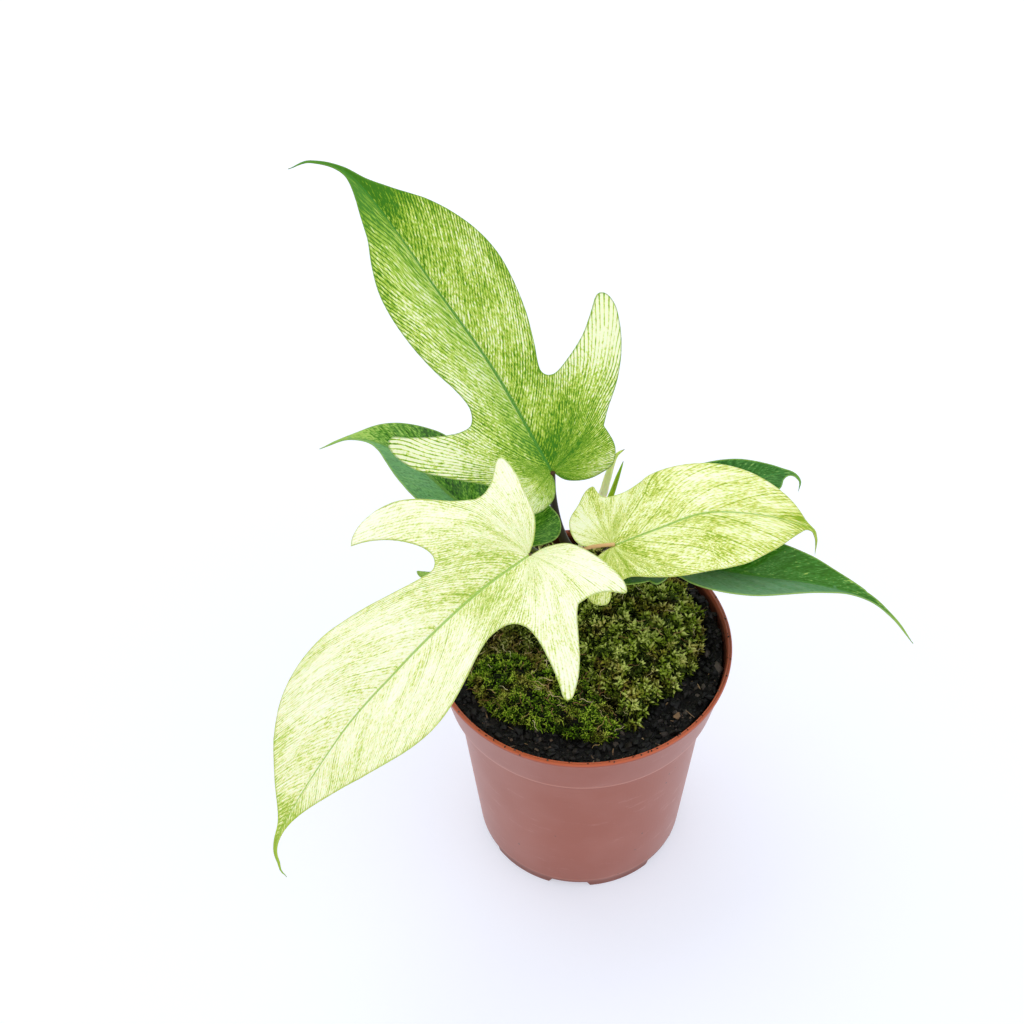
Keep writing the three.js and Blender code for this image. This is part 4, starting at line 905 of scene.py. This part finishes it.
strand_spots = []
for name, cushion in CUSHIONS.items():
    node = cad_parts[f"moss_cushion_{name}"]
    mound = bmesh.new()
    mound.from_mesh(node.data)
    mound.transform(SET_DOWN.inverted() @ node.matrix_world)
    bmesh.ops.remove_doubles(mound, verts=mound.verts, dist=1e-3)
    bmesh.ops.triangulate(mound, faces=mound.faces)
    bmesh.ops.subdivide_edges(mound, edges=mound.edges, cuts=1, use_grid_fill=True)
    for vert in mound.verts:
        if vert.normal.z > 0.2:
            vert.co.z += SWELL_HEIGHT * noise.noise(vert.co / SWELL_SIZE)
    faces = [face for face in mound.faces if face.normal.z > 0.1]
    spots = spots_on(faces, cushion["shoots"])
    strand_spots += spots_on(faces, STRANDS_PER_CUSHION)
    tint_layer = mound.verts.layers.float.new("tint")
    # The mound's own points keep tier 0 and take the darkest colour: painted shade between the shoots.
    mound.verts.layers.float.new("tier")
    shoots = [moss_shoot(cushion["tiers"], cushion["leaf_width"]) for _ in range(SHOOT_KINDS)]
    placings = [[] for _ in shoots]
    for spot, normal in spots:
        behind_stem = spot.y > 40 and abs(spot.x) < 16
        lean = (normal + Vector((draw.uniform(-0.5, 0.5), draw.uniform(-0.5, 0.5), 0.5))).normalized()
        upright = lean.to_track_quat("Z", "Y").to_matrix().to_4x4()
        stance = upright @ Matrix.Rotation(draw.uniform(0, math.tau), 4, "Z")
        foot = Matrix.Translation(spot - MOSS_STEM_DEPTH * lean)
        size = draw.uniform(*cushion["sizes"]) * (TALL_SHOOTS if behind_stem else 1)
        draw.choice(placings).append((foot @ stance @ Matrix.Scale(size, 4), draw.random()))
    for shoot, places in zip(shoots, placings):
        scatter(mound, shoot, places, tint_layer)
    finish = moss_finish(f"{name} moss", cushion["colours"], cushion["aged"])
    add_piece(f"moss_{name}", mound, finish, cushion["slot"], node.name)

# Dry stalks lie over the moss: last year's spore stalks and roots, tan, bent and as thin as thread. Real ones
# are 0.1 to 0.2 mm thick. These are 0.36 mm thick at the foot, to show.
STRAND_LENGTH = 4.5
STRAND_RADIUS = 0.18
STRAND_STEPS = 8
strand = bmesh.new()
bmesh.ops.create_cone(strand, cap_ends=True, segments=5, radius1=STRAND_RADIUS, radius2=STRAND_RADIUS / 2,
                      depth=STRAND_LENGTH, matrix=Matrix.Translation((0, 0, STRAND_LENGTH / 2)))
for step in range(1, STRAND_STEPS):
    cut_across(strand, (0, 0, STRAND_LENGTH * step / STRAND_STEPS), (0, 0, 1))
for vert in strand.verts:
    share = vert.co.z / STRAND_LENGTH
    vert.co += Vector((1.9 * share ** 2, 0.4 * math.sin(7 * share), 0))
strand_mesh = mesh_of("strand", strand)
strands = bmesh.new()
placings = []
for spot, normal in strand_spots:
    turn = Matrix.Rotation(draw.uniform(0, math.tau), 4, "Z")
    lying = turn @ Matrix.Rotation(draw.uniform(0.7, 1.5), 4, "Y")
    size = Matrix.Scale(draw.uniform(0.5, 1.2), 4)
    foot = Matrix.Translation(spot + draw.uniform(2.2, 4) * normal)
    placings.append((foot @ lying @ size, draw.random()))
scatter(strands, strand_mesh, placings, strands.verts.layers.float.new("tint"))

# Dead stalks are dry and matt, so the eye gets pale threads without a shine, each of its own tan.
straw, tree, shader = new_finish("dry stalks", Roughness=0.6)
tint = add_node(tree, "Attribute", attribute_name="tint").outputs["Fac"]
tans = add_node(tree, "ValToRGB", {"Fac": tint}, stops=[
    (0.0, "4a3010"), (0.4, "8a6430"), (0.75, "b89a60"), (1.0, "e0d8a8")])
wire(tree, shader, {"Base Color": tans})
add_piece("dry_stalks", strands, straw, "moss_dull")

# The studio: a table of white acrylic lit from below, under a pale sky all round, with a large soft light
# above the plant on the left, behind it, and a weaker one in front on the right.
FLOOR_SIZE = 6.0
SKY_STRENGTH = 0.93
LIGHTS = [("key", (-0.4, 0.7, 1.6), 1.3, 7), ("fill", (1.2, -0.6, 1.3), 1.4, 3)]
LIT_POINT = (0, 0, 0.12)
floor_shape = bmesh.new()
bmesh.ops.create_grid(floor_shape, x_segments=1, y_segments=1, size=FLOOR_SIZE / 2)
floor_mesh = mesh_of("floor", floor_shape)

# Sanded acrylic with light behind it is matt and nearly as bright as the sky, so the eye gets only a faint
# shadow. The sanding is far finer than its ripples of 0.8 mm here, which are as fine as can show.
acrylic, tree, shader = new_finish("white acrylic lit from below", Roughness=0.7, Emission_Strength=0.49,
                                   Base_Color=linear("c0c3cc"), Emission_Color=linear("f1f5ff"))
where = add_node(tree, "TexCoord").outputs["Object"]
satin = add_node(tree, "TexNoise", {"Vector": where, "Scale": 1 / (0.8 * MM), "Detail": 2})
rub = add_node(tree, "Bump", {"Height": satin, "Strength": 0.1, "Distance": 0.05 * MM})
wire(tree, shader, {"Normal": rub})
floor_mesh.materials.append(acrylic)
floor = bpy.data.objects.new("studio_floor", floor_mesh)
bpy.context.scene.collection.objects.link(floor)

world = bpy.data.worlds.new("studio")
world.use_nodes = True
sky = world.node_tree.nodes["Background"]
sky.inputs["Color"].default_value = linear("f7f9ff")
sky.inputs["Strength"].default_value = SKY_STRENGTH
bpy.context.scene.view_settings.view_transform = "Standard"
bpy.context.scene.world = world
for light_name, place, size, power in LIGHTS:
    lamp = bpy.data.lights.new(light_name, "AREA")
    lamp.size = size
    lamp.energy = power
    lamp_object = bpy.data.objects.new(light_name, lamp)
    lamp_object.location = place
    lamp_object.rotation_euler = (Vector(LIT_POINT) - Vector(place)).to_track_quat("-Z", "Y").to_euler()
    bpy.context.scene.collection.objects.link(lamp_object)

# The camera looks down at the plant by 48.5 degrees from 0.98 m, tipped to the left by 1.25 degrees.
IMAGE_SIDE = 1024
FOCAL_PIXELS = 2200
SENSOR_WIDTH = 36
PITCH = 0.8472
ROLL = -0.0219
CAMERA_PLACE = Vector((-26.865, -543.586, 808.837))
camera = bpy.data.cameras.new("camera")
camera.sensor_width = SENSOR_WIDTH
camera.lens = SENSOR_WIDTH * FOCAL_PIXELS / IMAGE_SIDE
camera_object = bpy.data.objects.new("camera", camera)
aim = Matrix.Rotation(math.pi / 2 - PITCH, 4, "X") @ Matrix.Rotation(ROLL, 4, "Z")
camera_object.matrix_world = Matrix.Translation(SET_DOWN @ CAMERA_PLACE) @ aim
bpy.context.scene.collection.objects.link(camera_object)
bpy.context.scene.camera = camera_object
